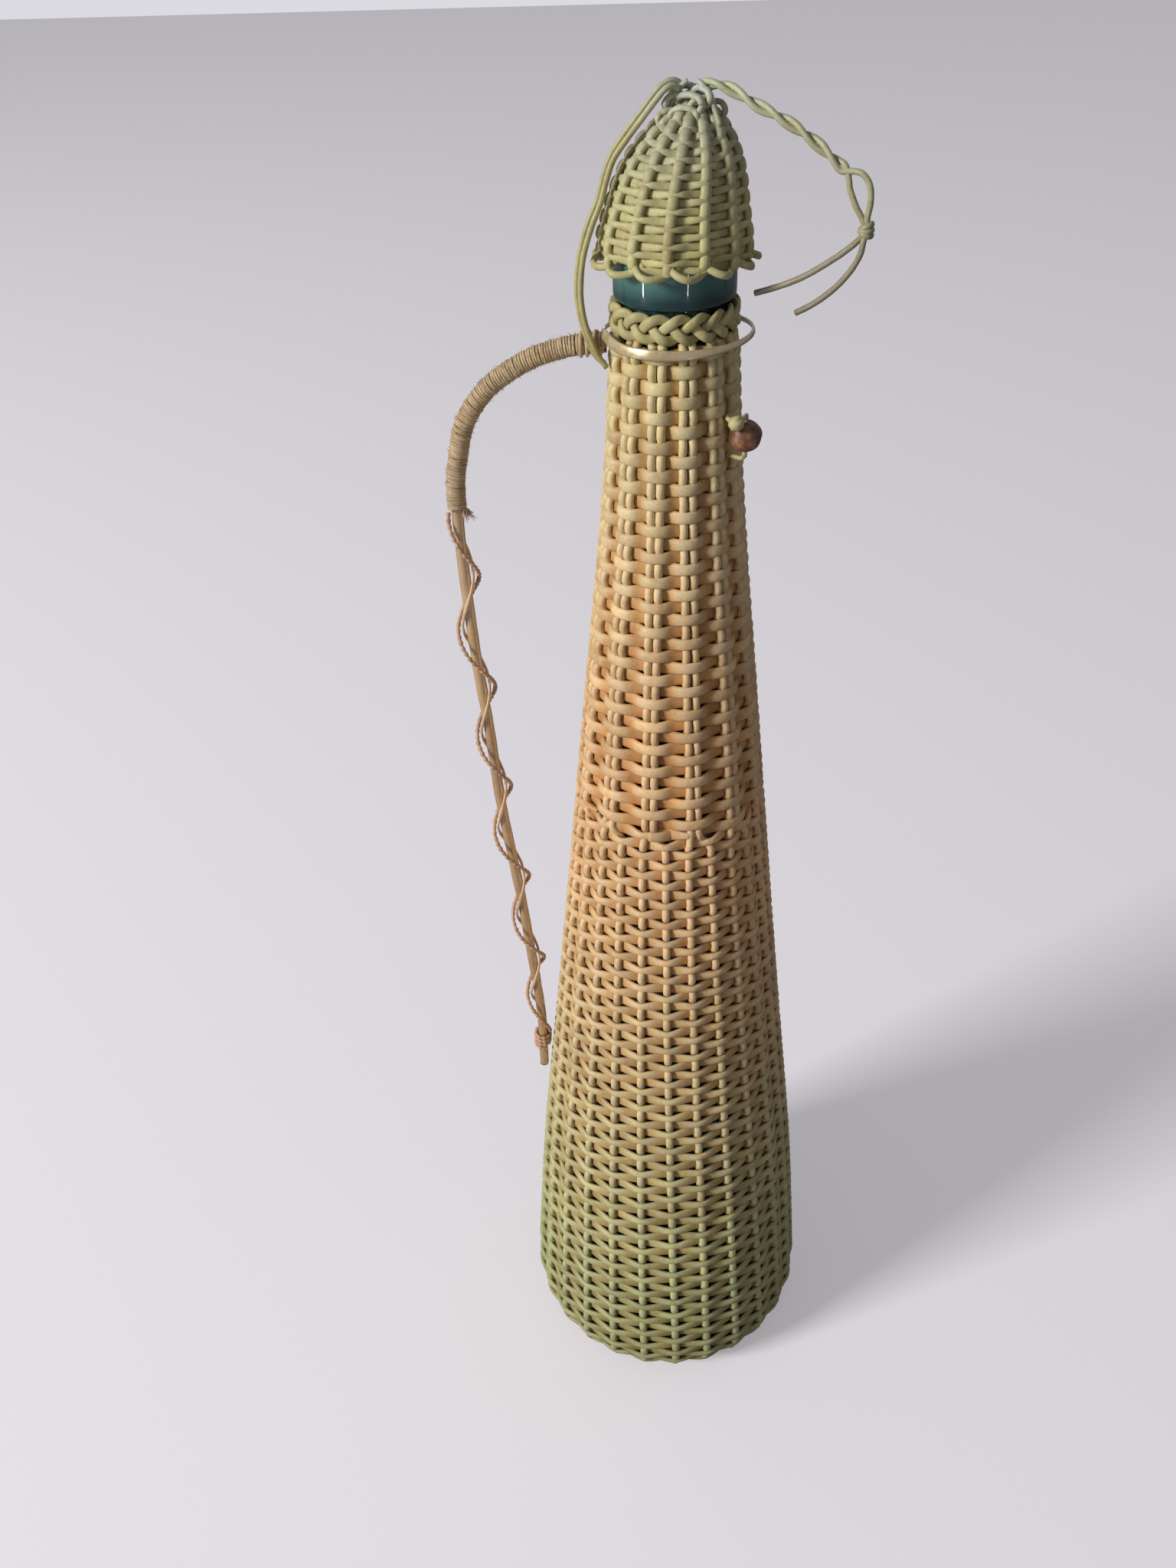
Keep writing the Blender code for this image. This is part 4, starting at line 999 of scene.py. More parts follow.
def lathe(name, outline, material, sides):
    """A turned body whose outline starts and ends on the axis."""
    bm = bmesh.new()
    turn = whole_turn(sides)
    rings = [
        [bm.verts.new(spot) for spot in polar(radius, turn if radius else turn[:1], height)]
        for radius, height in outline
    ]
    for lower, upper in zip(rings, rings[1:]):
        for k in range(sides):
            after = (k + 1) % sides
            if len(lower) == 1:
                bm.faces.new((lower[0], upper[after], upper[k]))
            elif len(upper) == 1:
                bm.faces.new((lower[k], lower[after], upper[0]))
            else:
                bm.faces.new((lower[k], lower[after], upper[after], upper[k]))
    bmesh.ops.recalc_face_normals(bm, faces=bm.faces)
    obj = add_solid(name, bm, material)
    obj.data.set_sharp_from_angle(angle=SHARP_ANGLE)
    return obj


def rounded(radius, height, fillet, start, end):
    """Outline points round a corner whose fillet centre is at the given radius and height."""
    turn = np.linspace(start, end, 7)
    return [(radius + fillet * math.cos(a), height + fillet * math.sin(a)) for a in turn]


def wall_outline(start, end, count, depth, floor):
    """Outline points of a glass wall that follows the jacket at a depth behind its canes."""
    along = np.linspace(start, end, count)
    depth = weave_depth(profile.height(along)) + GLASS_GAP + depth
    points, _ = profile.place(along, 0 * along, depth)
    return [(max(x, GLASS_LEAST_RADIUS), max(z, floor)) for x, _, z in points.tolist()]


def build_glass():
    """The bottle: the jacketed body, the neck and the thicker finish with its rounded lip."""
    points = node_points("glass_bottle")
    lip = reach(points[points[:, 2] > MOUTH - LIP_BAND])
    outer, bore = float(lip.max()), float(lip.min())
    quarter = math.pi / 2
    outline = [(0.0, GLASS_FOOT)] + wall_outline(UNDERSIDE_START, profile.length, 90, 0, GLASS_FOOT)
    outline += [(outline[-1][0], FINISH_STEP)]
    outline += rounded(outer - FINISH_EDGE, FINISH_STEP + FINISH_EDGE, FINISH_EDGE, -quarter, 0)
    outline += rounded(outer - LIP_OUTER_EDGE, MOUTH - LIP_OUTER_EDGE, LIP_OUTER_EDGE, 0, quarter)
    outline += rounded(bore + LIP_INNER_EDGE, MOUTH - LIP_INNER_EDGE, LIP_INNER_EDGE, quarter, math.pi)
    floor = GLASS_FOOT + GLASS_FLOOR
    outline += wall_outline(profile.length, GLASS_INNER_START, 60, GLASS_WALL, floor)
    outline += [(0.0, floor)]
    hand_over(lathe("glass_body", outline, GLASS, GLASS_SIDES), "teal_glass", "bottle", "glass_bottle")


build_collar()
build_hoop()
build_glass()


# Cap
CAP_RIBS = 13
CAP_FOOT_RADIUS = widest("cap_cover", CAP_LOW + LEVEL_TOLERANCE)
CAP_DEPTH = 0.0022
CAP_ROW_PITCH = 0.00165
CAP_WEAVER_THICKNESS = 0.0009
CAP_RIB_WIDTH = 0.0023
CAP_RIB_THICKNESS = 0.0017
CAP_SKIRT = 0.002
CAP_WEAVE_START = 0.0006
CAP_WEAVE_END = 0.0016
CAP_WEAVER_SINK = 0.0001
CAP_WEAVER_WAVER = 0.00006
CAP_RIB_SINK = 0.0003
CAP_RIB_END = 0.0002
BORDER_CANE = 0.0016
BORDER_DIP = 0.0024
BORDER_SWING = 0.0012
BORDER_INSET = 0.0007
BORDER_BULGE = 0.0008
BORDER_GAP = 0.0002
# How far a rib's end goes across, of the way to the next rib
BORDER_REACH = 1.3
# Share of the dome's height, and share of its foot radius there
DOME_SHARES = (
    (0.0, 1.0), (0.25, 0.91), (0.45, 0.83), (0.62, 0.73), (0.76, 0.595), (0.88, 0.44), (0.96, 0.29),
    (1.0, 0.17),
)
LEAN_POWER = 1.5
DOME_FOOT = MOUTH + 0.0003
DOME_HEIGHT = CAP_TOP - DOME_FOOT
CAP_RIB_AZIMUTHS = front_angle(np.arange(CAP_RIBS) * 360 / CAP_RIBS - 33)


def cap_line():
    """The cap's outer line, from its edge up to the tip, as radius and height."""
    fine = resample([(a, b, 0.0) for a, b in DOME_SHARES], 0.01)
    dome = [(CAP_FOOT_RADIUS * b, DOME_FOOT + DOME_HEIGHT * a) for a, b, _ in fine]
    return [(CAP_FOOT_RADIUS, CAP_LOW - CAP_SKIRT)] + dome


cap_profile = TurnedLine(cap_line())


def cap_place(along, azimuth, depth):
    """Points and normals on the cap, whose tip leans."""
    points, normals = cap_profile.place(along, azimuth, depth)
    share = np.clip((cap_profile.height(along) - DOME_FOOT) / DOME_HEIGHT, 0, 1)
    points[:, 0] += TIP.x * share**LEAN_POWER
    return points, normals


def build_cap_weave():
    weavers = Bundle(sides=8, squareness=2.4)
    length = cap_profile.length - CAP_WEAVE_END - CAP_WEAVE_START
    turns = length / CAP_ROW_PITCH
    position = np.linspace(0, turns * CAP_RIBS, int(turns * CAP_RIBS * 10))
    angle = CAP_RIB_AZIMUTHS[0] + math.tau * position / CAP_RIBS
    over = wave(position, WEAVER_FLATNESS)
    low, high = CAP_WEAVER_THICKNESS / 2 + CAP_WEAVER_SINK, CAP_DEPTH - CAP_WEAVER_THICKNESS / 2
    depth = high - (high - low) * ((1 + over) / 2) ** VALLEY_POWER
    depth = depth + ripple(angle * 5, 401, CAP_WEAVER_WAVER)
    points, normals = cap_place(CAP_WEAVE_START + length * position / position[-1], angle, depth)
    width = CAP_ROW_PITCH * (1.08 - 0.28 * over) * (1 + ripple(angle * 7, 402, 0.06))
    shade = shades(angle * 0.9, 403, 0.5)
    # the weavers take painted shade where they dip behind the ribs
    weavers.add(points, normals, width, CAP_WEAVER_THICKNESS, shade, deep=(1 - over) * HALF_DEEP)
    weavers.build("cap_weavers", CANE_CAP, "straw_cane", "cap", "cap_cover")
    ribs = Bundle(sides=10, squareness=2.2)
    along = np.linspace(0.0, cap_profile.length - CAP_RIB_END, 160)
    row = (along - CAP_WEAVE_START) / CAP_ROW_PITCH
    width = np.minimum(CAP_RIB_WIDTH, math.tau * cap_profile.radius(along) / CAP_RIBS * 0.9)
    low, high = CAP_RIB_THICKNESS / 2, CAP_DEPTH - CAP_RIB_THICKNESS / 2
    for k, azimuth in enumerate(CAP_RIB_AZIMUTHS):
        under = wave(row - (azimuth - CAP_RIB_AZIMUTHS[0]) / math.tau + k, WEAVER_FLATNESS)
        depth = low + (high - low) * ((1 + under) / 2) ** 2 - CAP_RIB_SINK
        points, normals = cap_place(along, np.full_like(along, azimuth), depth)
        ribs.add(points, normals, width, CAP_RIB_THICKNESS, np.random.default_rng(420 + k).uniform(0, 1))
    ribs.build("cap_ribs", CANE_CAP, "straw_cane", "cap")


def build_cap_border():
    """Each rib's end bends down and across behind the next, so that loops hang round the edge."""
    bundle = Bundle(sides=10, squareness=2.1)
    t = np.linspace(0, 1, 40)
    dip = np.sin(math.pi * t) ** 0.8
    out = -BORDER_INSET + BORDER_SWING * np.sin(math.tau * t - 0.5) + BORDER_BULGE * dip
    for k, azimuth in enumerate(CAP_RIB_AZIMUTHS):
        angle = azimuth + t * BORDER_REACH * math.tau / CAP_RIBS
        points = polar(CAP_FOOT_RADIUS + out, angle, CAP_LOW - BORDER_GAP - BORDER_DIP * dip)
        shade = np.random.default_rng(450 + k).uniform(0, 1)
        bundle.add(points, polar(1, angle, 0), BORDER_CANE, BORDER_CANE * 0.8, shade)
    bundle.build("cap_border_loops", CANE_CAP, "straw_cane", "cap", "cap_border")


# Loops on the tip: shift out, beside and up, half width, half height, turn about the upright, cane
TIP_LOOPS = (
    (-0.0022, 0.0006, -0.0012, 0.0031, 0.0018, 0.4, 0.0017),
    (0.0021, -0.0008, -0.0012, 0.003, 0.0017, -0.5, 0.0016),
    (-0.0006, 0.0022, -0.0019, 0.0032, 0.0015, 1.3, 0.0016),
    (0.0004, -0.0028, -0.0022, 0.0034, 0.0017, -0.3, 0.0016),
    (-0.0028, -0.0019, -0.0023, 0.0027, 0.0016, 0.9, 0.0015),
    (0.0028, -0.0021, -0.0027, 0.0025, 0.0016, 0.7, 0.0015),
    (-0.0046, 0.0016, -0.0034, 0.0024, 0.0017, 0.2, 0.0015),
    (0.0, -0.0046, -0.0044, 0.0029, 0.0018, 0.1, 0.0015),
    (0.0044, 0.0012, -0.0036, 0.0023, 0.0016, -0.2, 0.0014),
    (-0.0034, -0.0042, -0.0049, 0.0024, 0.0016, 0.7, 0.0014),
)
# Two short tails: heading, length and shade
TIP_TAILS = ((-0.35, 0.0085, 0.9), (-2.6, 0.0065, 0.7))
# Where the tails start beside and over the tip's middle, and how far they fall
TAIL_START = (0.0012, 0.0016)
TAIL_FALL = 0.0075
TAIL_CANE = (0.0012, 0.0011)
TIP_LOOP_WAVER = 0.0003
# The coil inside: turns, radius and level at its start, how far both change, and its shift
TIP_COIL_TURNS = 5.2
TIP_COIL_START = (0.0054, -0.0052)
TIP_COIL_CHANGE = (-0.0044, 0.0028)
TIP_COIL_SHIFT = (-0.0004, 0, 0)
TIP_COIL_LEAN = 0.006
TIP_COIL_CANE = (0.0014, 0.0012)


def build_tip():
    """Loose loops of cane that gather the ribs' ends and hold the strap, and two short tails."""
    bundle = Bundle(sides=10, squareness=2.1)
    centre = np.array(TIP)
    turn = whole_turn(36)
    for k, (out, beside, up, width, height, tilt, cane) in enumerate(TIP_LOOPS):
        middle = centre + STRAP_OUT * out + STRAP_SIDE * beside + UP * up
        flat = STRAP_OUT * math.cos(tilt) + STRAP_SIDE * math.sin(tilt)
        loop = middle + np.outer(np.cos(turn), flat * width) + np.outer(np.sin(turn), UP * height)
        loop += np.outer(ripple(turn * 2, 480 + k, TIP_LOOP_WAVER), STRAP_SIDE)
        bundle.add(loop, unit(loop - middle), cane, cane * 0.8, 0.55 + 0.11 * (k % 5), closed=True)
    turn = np.linspace(0, math.tau * TIP_COIL_TURNS, 220)
    share = turn / turn[-1]
    radius = TIP_COIL_START[0] + TIP_COIL_CHANGE[0] * share
    level = TIP_COIL_START[1] + TIP_COIL_CHANGE[1] * share**0.8
    ring = centre + polar(radius, turn, level) + TIP_COIL_SHIFT
    # the coil lies fully deep under the loops, so it takes the darkest painted shade
    bundle.add(ring, unit(ring - centre + TIP_COIL_LEAN * UP), *TIP_COIL_CANE, 0.3, deep=1.0)
    t = np.linspace(0, 1, 16)
    for heading, long, shade in TIP_TAILS:
        away = STRAP_OUT * math.cos(heading) + STRAP_SIDE * math.sin(heading)
        fall = TAIL_START[1] - TAIL_FALL * t**1.6
        path = centre + np.outer(TAIL_START[0] + long * 0.75 * t, away) + np.outer(fall, UP)
        bundle.add(path, carried_normals(path, (0.1, 0.2, 1.0)), *TAIL_CANE, shade)
    bundle.build("tip_loops", CANE_CAP, "straw_cane", "cap", "cap_tip_knot")


def build_cork():
    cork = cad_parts["cork_stopper"]
    cork.data.materials.clear()
    cork.data.materials.append(CORK)


build_cap_weave()
build_cap_border()
build_tip()
build_cork()

# Handle: the same line as the solid rod, by share of its height and of its stand-off
ROD_RADIUS = 0.0015
HANDLE_STAND_OFF = 0.0349
HANDLE_FOOT_HEIGHT = span("handle_rod")[0]
HANDLE_TOP_HEIGHT = STRANDS_TOP - 0.0008
GAP = 0.0003
HANDLE_STEP = 0.0006
HANDLE_SHARES = (
    (0.023, 0.066), (0.045, 0.086), (0.074, 0.1), (0.13, 0.155), (0.22, 0.268), (0.3, 0.37),
    (0.38, 0.485), (0.462, 0.6), (0.565, 0.715), (0.66, 0.835), (0.78, 0.955), (0.85, 1.0),
    (0.885, 0.985), (0.917, 0.945), (0.939, 0.872), (0.96, 0.758), (0.976, 0.606), (0.987, 0.462),
    (0.994, 0.316), (0.998, 0.19),
)


def handle_line():
    rise = HANDLE_TOP_HEIGHT - HANDLE_FOOT_HEIGHT
    spots = [(HANDLE_FOOT_HEIGHT, ROD_RADIUS + GAP)]
    spots += [(HANDLE_FOOT_HEIGHT + rise * up, HANDLE_STAND_OFF * out) for up, out in HANDLE_SHARES]
    spots += [(HANDLE_TOP_HEIGHT, GAP)]
    return resample([(-jacket_radius(z) - off, 0, z) for z, off in reversed(spots)], HANDLE_STEP)


HANDLE = handle_line()
HANDLE_ALONG = distances(HANDLE)
HANDLE_AHEAD = unit(np.gradient(HANDLE, axis=0))


def on_handle(distance, radius, angle):
    """Points beside the handle's line, and the outward directions there: angle 0 faces the bottle."""
    distance, angle = np.asarray(distance, float), np.asarray(angle, float)[..., None]
    ahead = unit(read_rows(distance, HANDLE_ALONG, HANDLE_AHEAD))
    inward = np.stack([-ahead[:, 2], 0 * distance, ahead[:, 0]], axis=1)
    out = np.cos(angle) * inward + np.sin(angle) * np.array((0, 1.0, 0))
    return read_rows(distance, HANDLE_ALONG, HANDLE) + out * np.asarray(radius, float)[..., None], out


LASHING_SETBACK = 0.0012
LASHING_TURNS = 3
LASHING_LIFT = 0.0002
ROD_STEP = 0.0012
SPIRAL_TURNS = 5.5
SPIRAL_RADIUS = 0.0036
FOOT_TURNS = 4
FOOT_TURNS_HEIGHT = 0.117
STRAND = 0.0009
SPIRAL_THICKNESS = 1.2 * STRAND
KNOB_SPACING = 0.0016
TURN_RADIUS = ROD_RADIUS + GAP + STRAND / 2
TURN_PITCH = STRAND + 0.0006
WRAP_START = LASHING_SETBACK + LASHING_TURNS * TURN_PITCH + STRAND + GAP
WRAP_END = WRAP_START + 0.055
WRAP_STRAND = 0.00062
WRAP_RADIUS = ROD_RADIUS + GAP + 0.0003
WRAP_WAVER = 0.00012
FIBRE_WAVER = 0.0001
FIRST_TURN = 0.0004
TIGHT_TURNS = FOOT_TURNS - 0.25
KNOB_SIZE = 0.2
SPIRAL_STEP = 0.0003
FUZZ_COUNT = 420
FUZZ_LENGTHS = (0.0006, 0.0018)
FUZZ_MARGIN = 0.001
FUZZ_FOOT = 0.0002
HAIR_THICKNESS = 0.00011
TUFT_COUNT = 44
TUFT_THICKNESS = 0.00038
TUFT_SINK = 0.0006
FRAYED_LENGTH = 0.0032


def build_rod():
    rod = Bundle(sides=16, squareness=2.0)
    distance = np.arange(0, HANDLE_ALONG[-1], ROD_STEP)
    points, _ = on_handle(distance, 0 * distance, 0 * distance)
    normals = np.broadcast_to(np.array((0, 1.0, 0)), points.shape)
    width = 2 * ROD_RADIUS * (0.94 + ripple(distance / 0.006, 501, 0.04))
    rod.add(points, normals, width, width, 0.6)
    rod.build("rod_bark", CANE_ROD, "glossy_cane", "bottle", "handle_rod")


def wind_fibre(bundle, start, end, waver, seed, drift):
    """Fine fibre wound tight round the rod, from one place along it to another."""
    turns = (end - start) / WRAP_STRAND
    angle = np.linspace(0, turns * math.tau, int(turns * 16))
    distance = start + WRAP_STRAND * angle / math.tau + ripple(angle * 0.4, 510, waver)
    points, out = on_handle(distance, WRAP_RADIUS + ripple(angle * 0.7, seed, FIBRE_WAVER), angle)
    bundle.add(points, out, WRAP_STRAND * 1.05, WRAP_STRAND, shades(angle * 0.3, 512, drift))


def build_wrap():
    """Fine fibre wound tight over the rod's upper part, and three thicker turns beside the neck."""
    wrap = Bundle(sides=6, squareness=2.0)
    wind_fibre(wrap, WRAP_START, WRAP_END, WRAP_WAVER, 511, 0.9)
    wrap.build("wrap_turns", FIBRE_WRAP, "wrap_strand", "bottle", "handle_wrap")
    lashing = Bundle(sides=8, squareness=2.0)
    wind_fibre(lashing, FIRST_TURN, WRAP_START, 0, 513, 0)
    angle = np.linspace(-math.pi / 2, LASHING_TURNS * math.tau, LASHING_TURNS * 28)
    distance = LASHING_SETBACK + TURN_PITCH * (angle + math.pi / 2) / math.tau
    points, out = on_handle(distance, WRAP_RADIUS + WRAP_STRAND / 2 + LASHING_LIFT, angle)
    lashing.add(points, out, STRAND, STRAND * 0.8, 0.7)
    lashing.build("neck_lashing_turns", FIBRE_WRAP, "wrap_strand", "bottle", "handle_top_lashing")


def add_hair(bundle, distance, radius, angle, thickness, shade):
    points, _ = on_handle(distance, radius, angle)
    bundle.add(points, carried_normals(points, (0.3, 0.8, 0.5)), thickness, thickness, shade)


def build_hairs():
    """Loose hairs all along the winding, and the tuft at its frayed end."""
    hairs = Bundle(sides=4, squareness=2.0)
    chance = np.random.default_rng(530)
    t = np.linspace(0, 1, 5)
    for _ in range(FUZZ_COUNT):
        start = chance.uniform(FUZZ_MARGIN, WRAP_END - FUZZ_MARGIN)
        angle = chance.uniform(0, math.tau)
        long = chance.uniform(*FUZZ_LENGTHS)
        distance = start + long * t * chance.uniform(-0.8, 0.8)
        angle = angle + t * chance.uniform(-0.7, 0.7)
        radius = WRAP_RADIUS + FUZZ_FOOT + long * 0.55 * t
        add_hair(hairs, distance, radius, angle, HAIR_THICKNESS * (1.1 - t), chance.uniform(0, 1))
    t = np.linspace(0, 1, 7)
    for _ in range(TUFT_COUNT):
        long = FRAYED_LENGTH * chance.uniform(0.5, 1.05)
        distance = WRAP_END + GAP - TUFT_SINK + long * (t + chance.uniform(-0.25, 0.25) * t * t)
        radius = WRAP_RADIUS + long * 0.9 * t * t * chance.uniform(0.5, 1.1)
        angle = chance.uniform(-0.5, 0.5) + t * chance.uniform(-0.8, 0.8)
        add_hair(hairs, distance, radius, angle, TUFT_THICKNESS * (1.15 - t), chance.uniform(0, 0.8))
    hairs.build("wrap_hairs_and_tuft", FIBRE_WRAP, "wrap_strand", "bottle", "wrap_frayed_end")


def loose_stretch():
    """How far along the rod the loose turns start and end."""
    foot_row = np.where(HANDLE[:, 2] >= FOOT_TURNS_HEIGHT)[0].max()
    return WRAP_END + GAP + STRAND, HANDLE_ALONG[foot_row] - FOOT_TURNS * TURN_PITCH


def build_cross_strand():
    """A smooth split strand that winds the other way, close to the rod and under the loose turns."""
    loose_start, tight_start = loose_stretch()
    half_turns = 2 * SPIRAL_TURNS
    turned_by = np.linspace(0.5, half_turns - 0.5, int(half_turns * 40))
    distance = loose_start + (tight_start - loose_start) * turned_by / half_turns
    points, out = on_handle(distance, TURN_RADIUS + 0 * turned_by, math.pi - math.pi * turned_by)
    bundle = Bundle(sides=8, squareness=2.0)
    wide = STRAND * (1.15 + ripple(turned_by * 2, 550, 0.15))
    bundle.add(points, out, wide, STRAND * 0.8, shades(turned_by, 551, 0.4, 0.6))
    bundle.build("split_strand", CANE_CROSS, "copper_strand", "bottle", "handle_cross_strand")


def build_spiral():
    """A knobbly strand down the rod in loose turns, then tight turns at the foot."""
    loose_start, tight_start = loose_stretch()
    share = np.linspace(0, 1, int(SPIRAL_TURNS * 90))
    swell = np.clip(np.minimum(share * SPIRAL_TURNS * 2, (1 - share) * SPIRAL_TURNS * 2), 0, 1)
    angle = math.pi + math.tau * SPIRAL_TURNS * share
    distance = loose_start + (tight_start - loose_start) * share
    radius = TURN_RADIUS + (SPIRAL_RADIUS - TURN_RADIUS) * swell
    tight = np.linspace(0, TIGHT_TURNS, int(TIGHT_TURNS * 40))[1:]
    angle = np.concatenate([angle, angle[-1] + math.tau * tight])
    distance = np.concatenate([distance, tight_start + TURN_PITCH * tight])
    radius = np.concatenate([radius, TURN_RADIUS + 0 * tight])
    points, out = on_handle(distance, radius, angle)
    path = resample(points[::3], SPIRAL_STEP)
    travelled = np.linspace(0, length_of(path), len(path))
    knobs = KNOB_SIZE * np.sin(math.tau * travelled / KNOB_SPACING)
    thickness = SPIRAL_THICKNESS * (1 + knobs + ripple(travelled / 0.002, 540, 0.12))
    bundle = Bundle(sides=8, squareness=2.0)
    shade = shades(travelled / 0.003, 541, 0.7)
    bundle.add(path, carried_normals(path, out[0]), thickness, thickness, shade)
    bundle.build("spiral_strand", FIBRE_COPPER, "copper_strand", "bottle", "handle_spiral")


build_rod()
build_wrap()
build_hairs()
build_spiral()
build_cross_strand()


# Bead and its tie
BEAD_LOW, BEAD_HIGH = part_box("toggle_bead")
BEAD_CENTRE = np.array((BEAD_LOW + BEAD_HIGH) / 2)
BEAD_RADIUS = float((BEAD_HIGH.z - BEAD_LOW.z) / 2)
BEAD_DENTING = 0.6
BEAD_FLAT_FROM = 0.9
BEAD_FLATTENING = 1.2
TIE_DIAMETER = 0.0011
TIE_BEND = 0.0014
TIE_TUCK = 0.0012
TIE_STEP = 0.0005
TIE_START_DROP = 0.001
TIE_KNOT_SHIFT = (-0.0023, -0.0036, 0.0006)
TIE_KNOT_RADIUS = 0.0011
TIE_KNOT_CANE = (0.0017, 0.0014)


def build_bead():
    bm = bmesh.new()
    bmesh.ops.create_uvsphere(bm, u_segments=48, v_segments=32, radius=1)
    for vert in bm.verts:
        x, y, z = vert.co
        turn = math.atan2(y, x)
        dent = 0.04 * math.sin(2 * turn + 1.1) + 0.03 * math.sin(3 * turn + 4 * z)
        dent += 0.02 * math.sin(7 * z + turn)
        flat = 1 - max(0.0, abs(z) - BEAD_FLAT_FROM) * BEAD_FLATTENING
        size = BEAD_RADIUS * (1.0 + BEAD_DENTING * dent)
        vert.co = Vector(BEAD_CENTRE) + Vector((x * size, y * size, z * BEAD_RADIUS * flat))
    hand_over(add_solid("seed_bead", bm, BEAD), "bead_nut", "bead", "toggle_bead")


def build_tie():
    """A cane from the jacket through the bead and back, with a knot above the bead."""
    bundle = Bundle(sides=10, squareness=2.0)
    axis_reach = np.linalg.norm(BEAD_CENTRE[:2])
    out = BEAD_CENTRE * np.array((1, 1, 0)) / axis_reach
    side = np.array((-out[1], out[0], 0))
    knot = BEAD_CENTRE + np.array(TIE_KNOT_SHIFT) + UP * BEAD_RADIUS
    legs = []
    for sign, start, count in ((1, 0.3, 3), (-1, math.pi / 2, 7)):
        bend = BEAD_CENTRE[2] + sign * (BEAD_RADIUS + TIE_DIAMETER / 2)
        level = bend + sign * TIE_BEND
        surface = out * (jacket_radius(level) - TIE_TUCK)
        leg = [surface + UP * (knot[2] - TIE_START_DROP), knot] if sign == 1 else [surface + UP * level]
        for a in np.linspace(start, 0, count):
            in_by, up_by = TIE_BEND * (1 - math.cos(a)), TIE_BEND * math.sin(a)
            leg.append(out * (axis_reach - in_by) + UP * (bend + sign * up_by))
        legs += leg if sign == 1 else leg[::-1]
    path = resample(legs, TIE_STEP)
    bundle.add(path, carried_normals(path, side), TIE_DIAMETER, TIE_DIAMETER, 0.8)
    turn = whole_turn(26)
    for tilt, shade in ((0.3, 1.0), (-0.6, 0.9), (1.3, 0.8)):
        flat = out * math.cos(tilt) + UP * math.sin(tilt)
        loop = knot + TIE_KNOT_RADIUS * (np.outer(np.cos(turn), flat) + np.outer(np.sin(turn), side))
        bundle.add(loop, unit(loop - knot), *TIE_KNOT_CANE, shade, closed=True)
    bundle.build("bead_tie_cane", CANE_CAP, "straw_cane", "bottle", "bead_tie")


build_bead()
build_tie()


# Floor and light
FLOOR_COLOUR = (0.74, 0.72, 0.76, 1)
FLOOR_COLOUR_FOR_BOUNCES = (0.3, 0.29, 0.31, 1)
FLOOR_LIFT = 0.38
FLOOR_HALF = 4.0
KEY_AZIMUTH = math.radians(-150)
KEY_ELEVATION = math.radians(24)
KEY_DISTANCE = 3.2
KEY_SIZE = 0.75
KEY_POWER = 92
KEY_COLOUR = (1.0, 0.98, 0.95)
WORLD_COLOUR = (0.95, 0.94, 1.0, 1)
WORLD_STRENGTH = 0.2
WORLD_STRENGTH_SEEN = 0.75
WORLD_STRENGTH_MIRRORED = 0.2
MIDDLE = Vector((0, 0, 0.2))
STRIP_DISTANCE = 1.0
STRIP_HEIGHT = 0.16
# Azimuth from the front, width and power of the low strips that draw lines of light on glass
STRIPS = ((-60, 0.03, 0.55), (24, 0.02, 0.2))


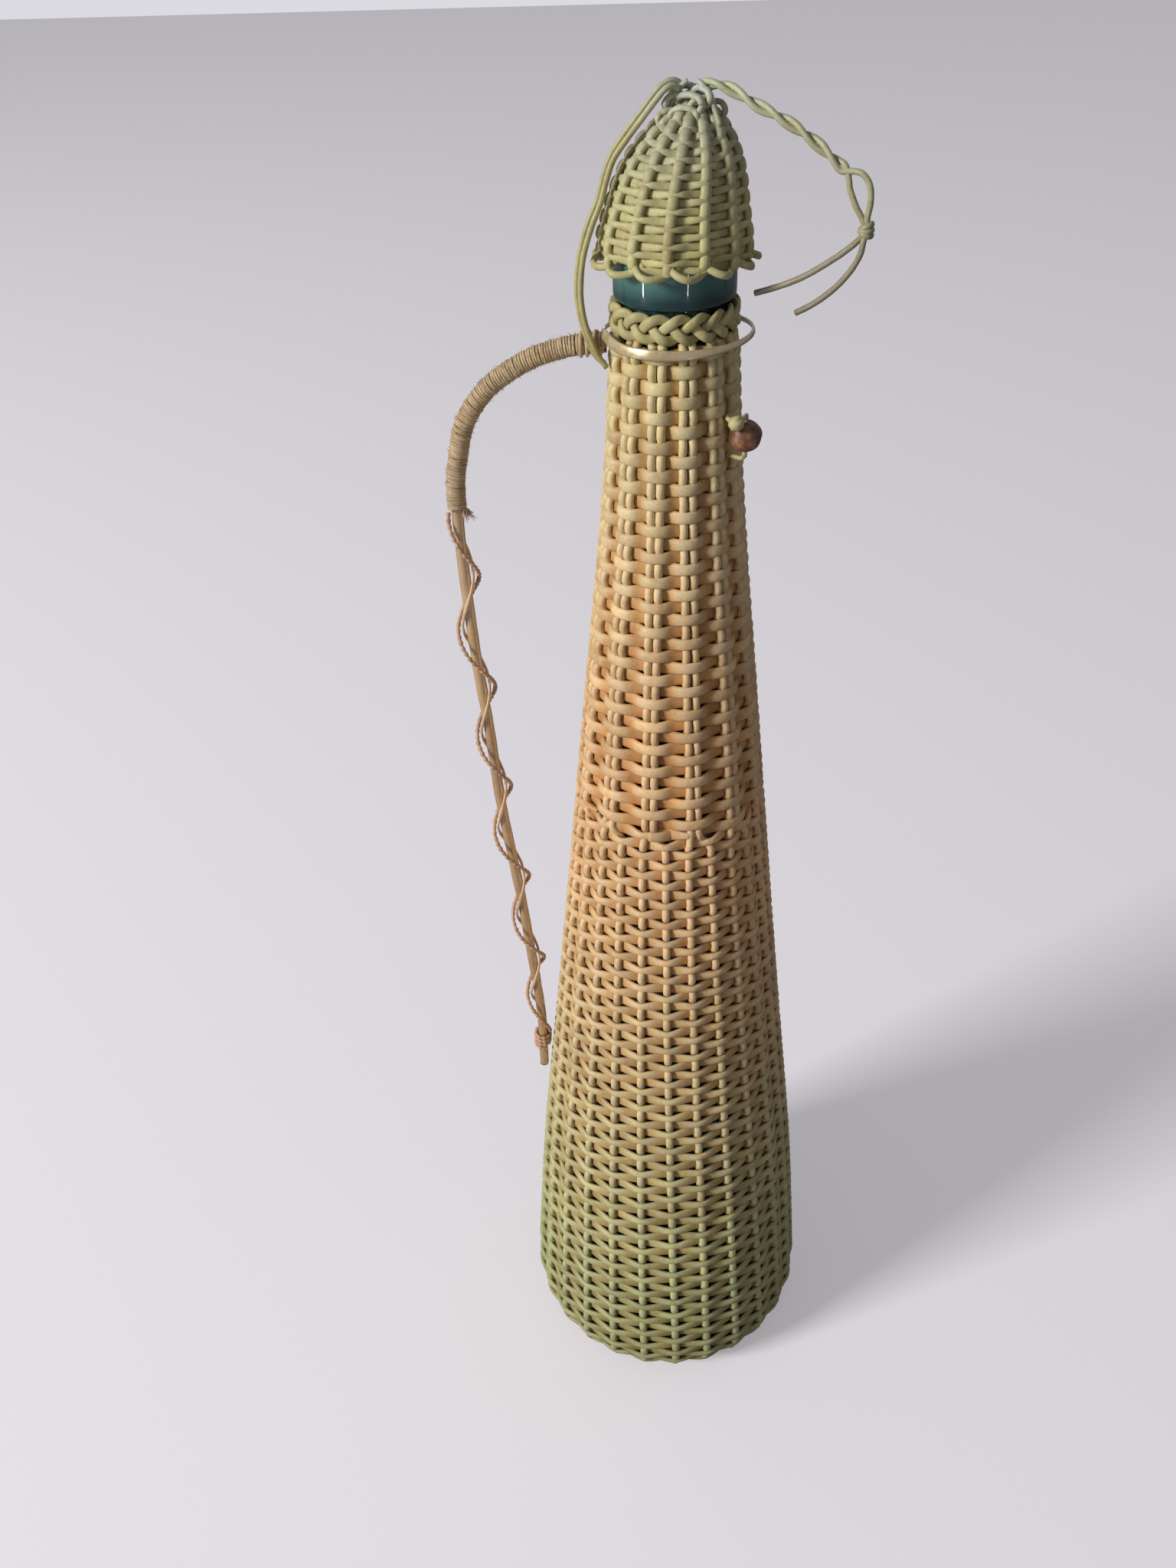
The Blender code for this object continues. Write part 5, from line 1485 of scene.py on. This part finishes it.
def add_floor():
    """Pale paper to the camera, and darker to light that bounces, so that shade stays deep."""
    material, tree, shader = new_material("floor_paper")
    seen = add_node(tree, "ShaderNodeLightPath").outputs["Is Camera Ray"]
    colour = mixed(tree, "MIX", seen, FLOOR_COLOUR_FOR_BOUNCES, FLOOR_COLOUR)
    lift = maths(tree, "MULTIPLY", seen, FLOOR_LIFT)
    set_shader(tree, shader, Base_Color=colour, Roughness=0.9, Specular_IOR_Level=0.1)
    set_shader(tree, shader, Emission_Color=FLOOR_COLOUR, Emission_Strength=lift)
    mesh = bpy.data.meshes.new("floor")
    corners = [(x * FLOOR_HALF, y * FLOOR_HALF, 0) for x, y in ((-1, -1), (1, -1), (1, 1), (-1, 1))]
    mesh.from_pydata(corners, [], [(0, 1, 2, 3)])
    mesh.materials.append(material)
    add_object("floor", mesh)


def round_axis(radius, azimuth, height):
    return Vector((radius * math.cos(azimuth), radius * math.sin(azimuth), height))


def add_area_light(name, place, target, width, height, power, colour):
    data = bpy.data.lights.new(name, "AREA")
    data.shape = "RECTANGLE"
    data.size = width
    data.size_y = height
    data.energy = power
    data.color = colour
    light = add_object(name, data)
    aim = (target - place).to_track_quat("-Z", "Y").to_matrix().to_4x4()
    light.matrix_world = Matrix.Translation(place) @ aim
    light.visible_camera = False


def add_light():
    """One soft lamp from the front left, two faint low strips, and a dim world that the camera,
    metal and glass see pale."""
    for k, (azimuth, width, power) in enumerate(STRIPS):
        spot = round_axis(STRIP_DISTANCE, math.radians(azimuth - 90), STRIP_HEIGHT / 2)
        add_area_light(f"strip_{k}", spot, Vector((0, 0, COLLAR_HIGH)), width, STRIP_HEIGHT, power, WHITE)
    level = KEY_DISTANCE * math.cos(KEY_ELEVATION)
    height = MIDDLE.z + KEY_DISTANCE * math.sin(KEY_ELEVATION)
    place = round_axis(level, KEY_AZIMUTH, height)
    add_area_light("key", place, MIDDLE, KEY_SIZE, KEY_SIZE, KEY_POWER, KEY_COLOUR)
    world = bpy.data.worlds.new("studio")
    world.use_nodes = True
    tree = world.node_tree
    path = add_node(tree, "ShaderNodeLightPath")
    seen = maths(tree, "MULTIPLY", path.outputs["Is Camera Ray"], WORLD_STRENGTH_SEEN - WORLD_STRENGTH)
    mirrored = maths(tree, "MULTIPLY", path.outputs["Is Glossy Ray"], WORLD_STRENGTH_MIRRORED)
    strength = maths(tree, "ADD", maths(tree, "ADD", seen, mirrored), WORLD_STRENGTH)
    set_shader(tree, tree.nodes["Background"], Color=WORLD_COLOUR, Strength=strength)
    bpy.context.scene.world = world
    bpy.context.scene.view_settings.view_transform = "Standard"


add_floor()
add_light()
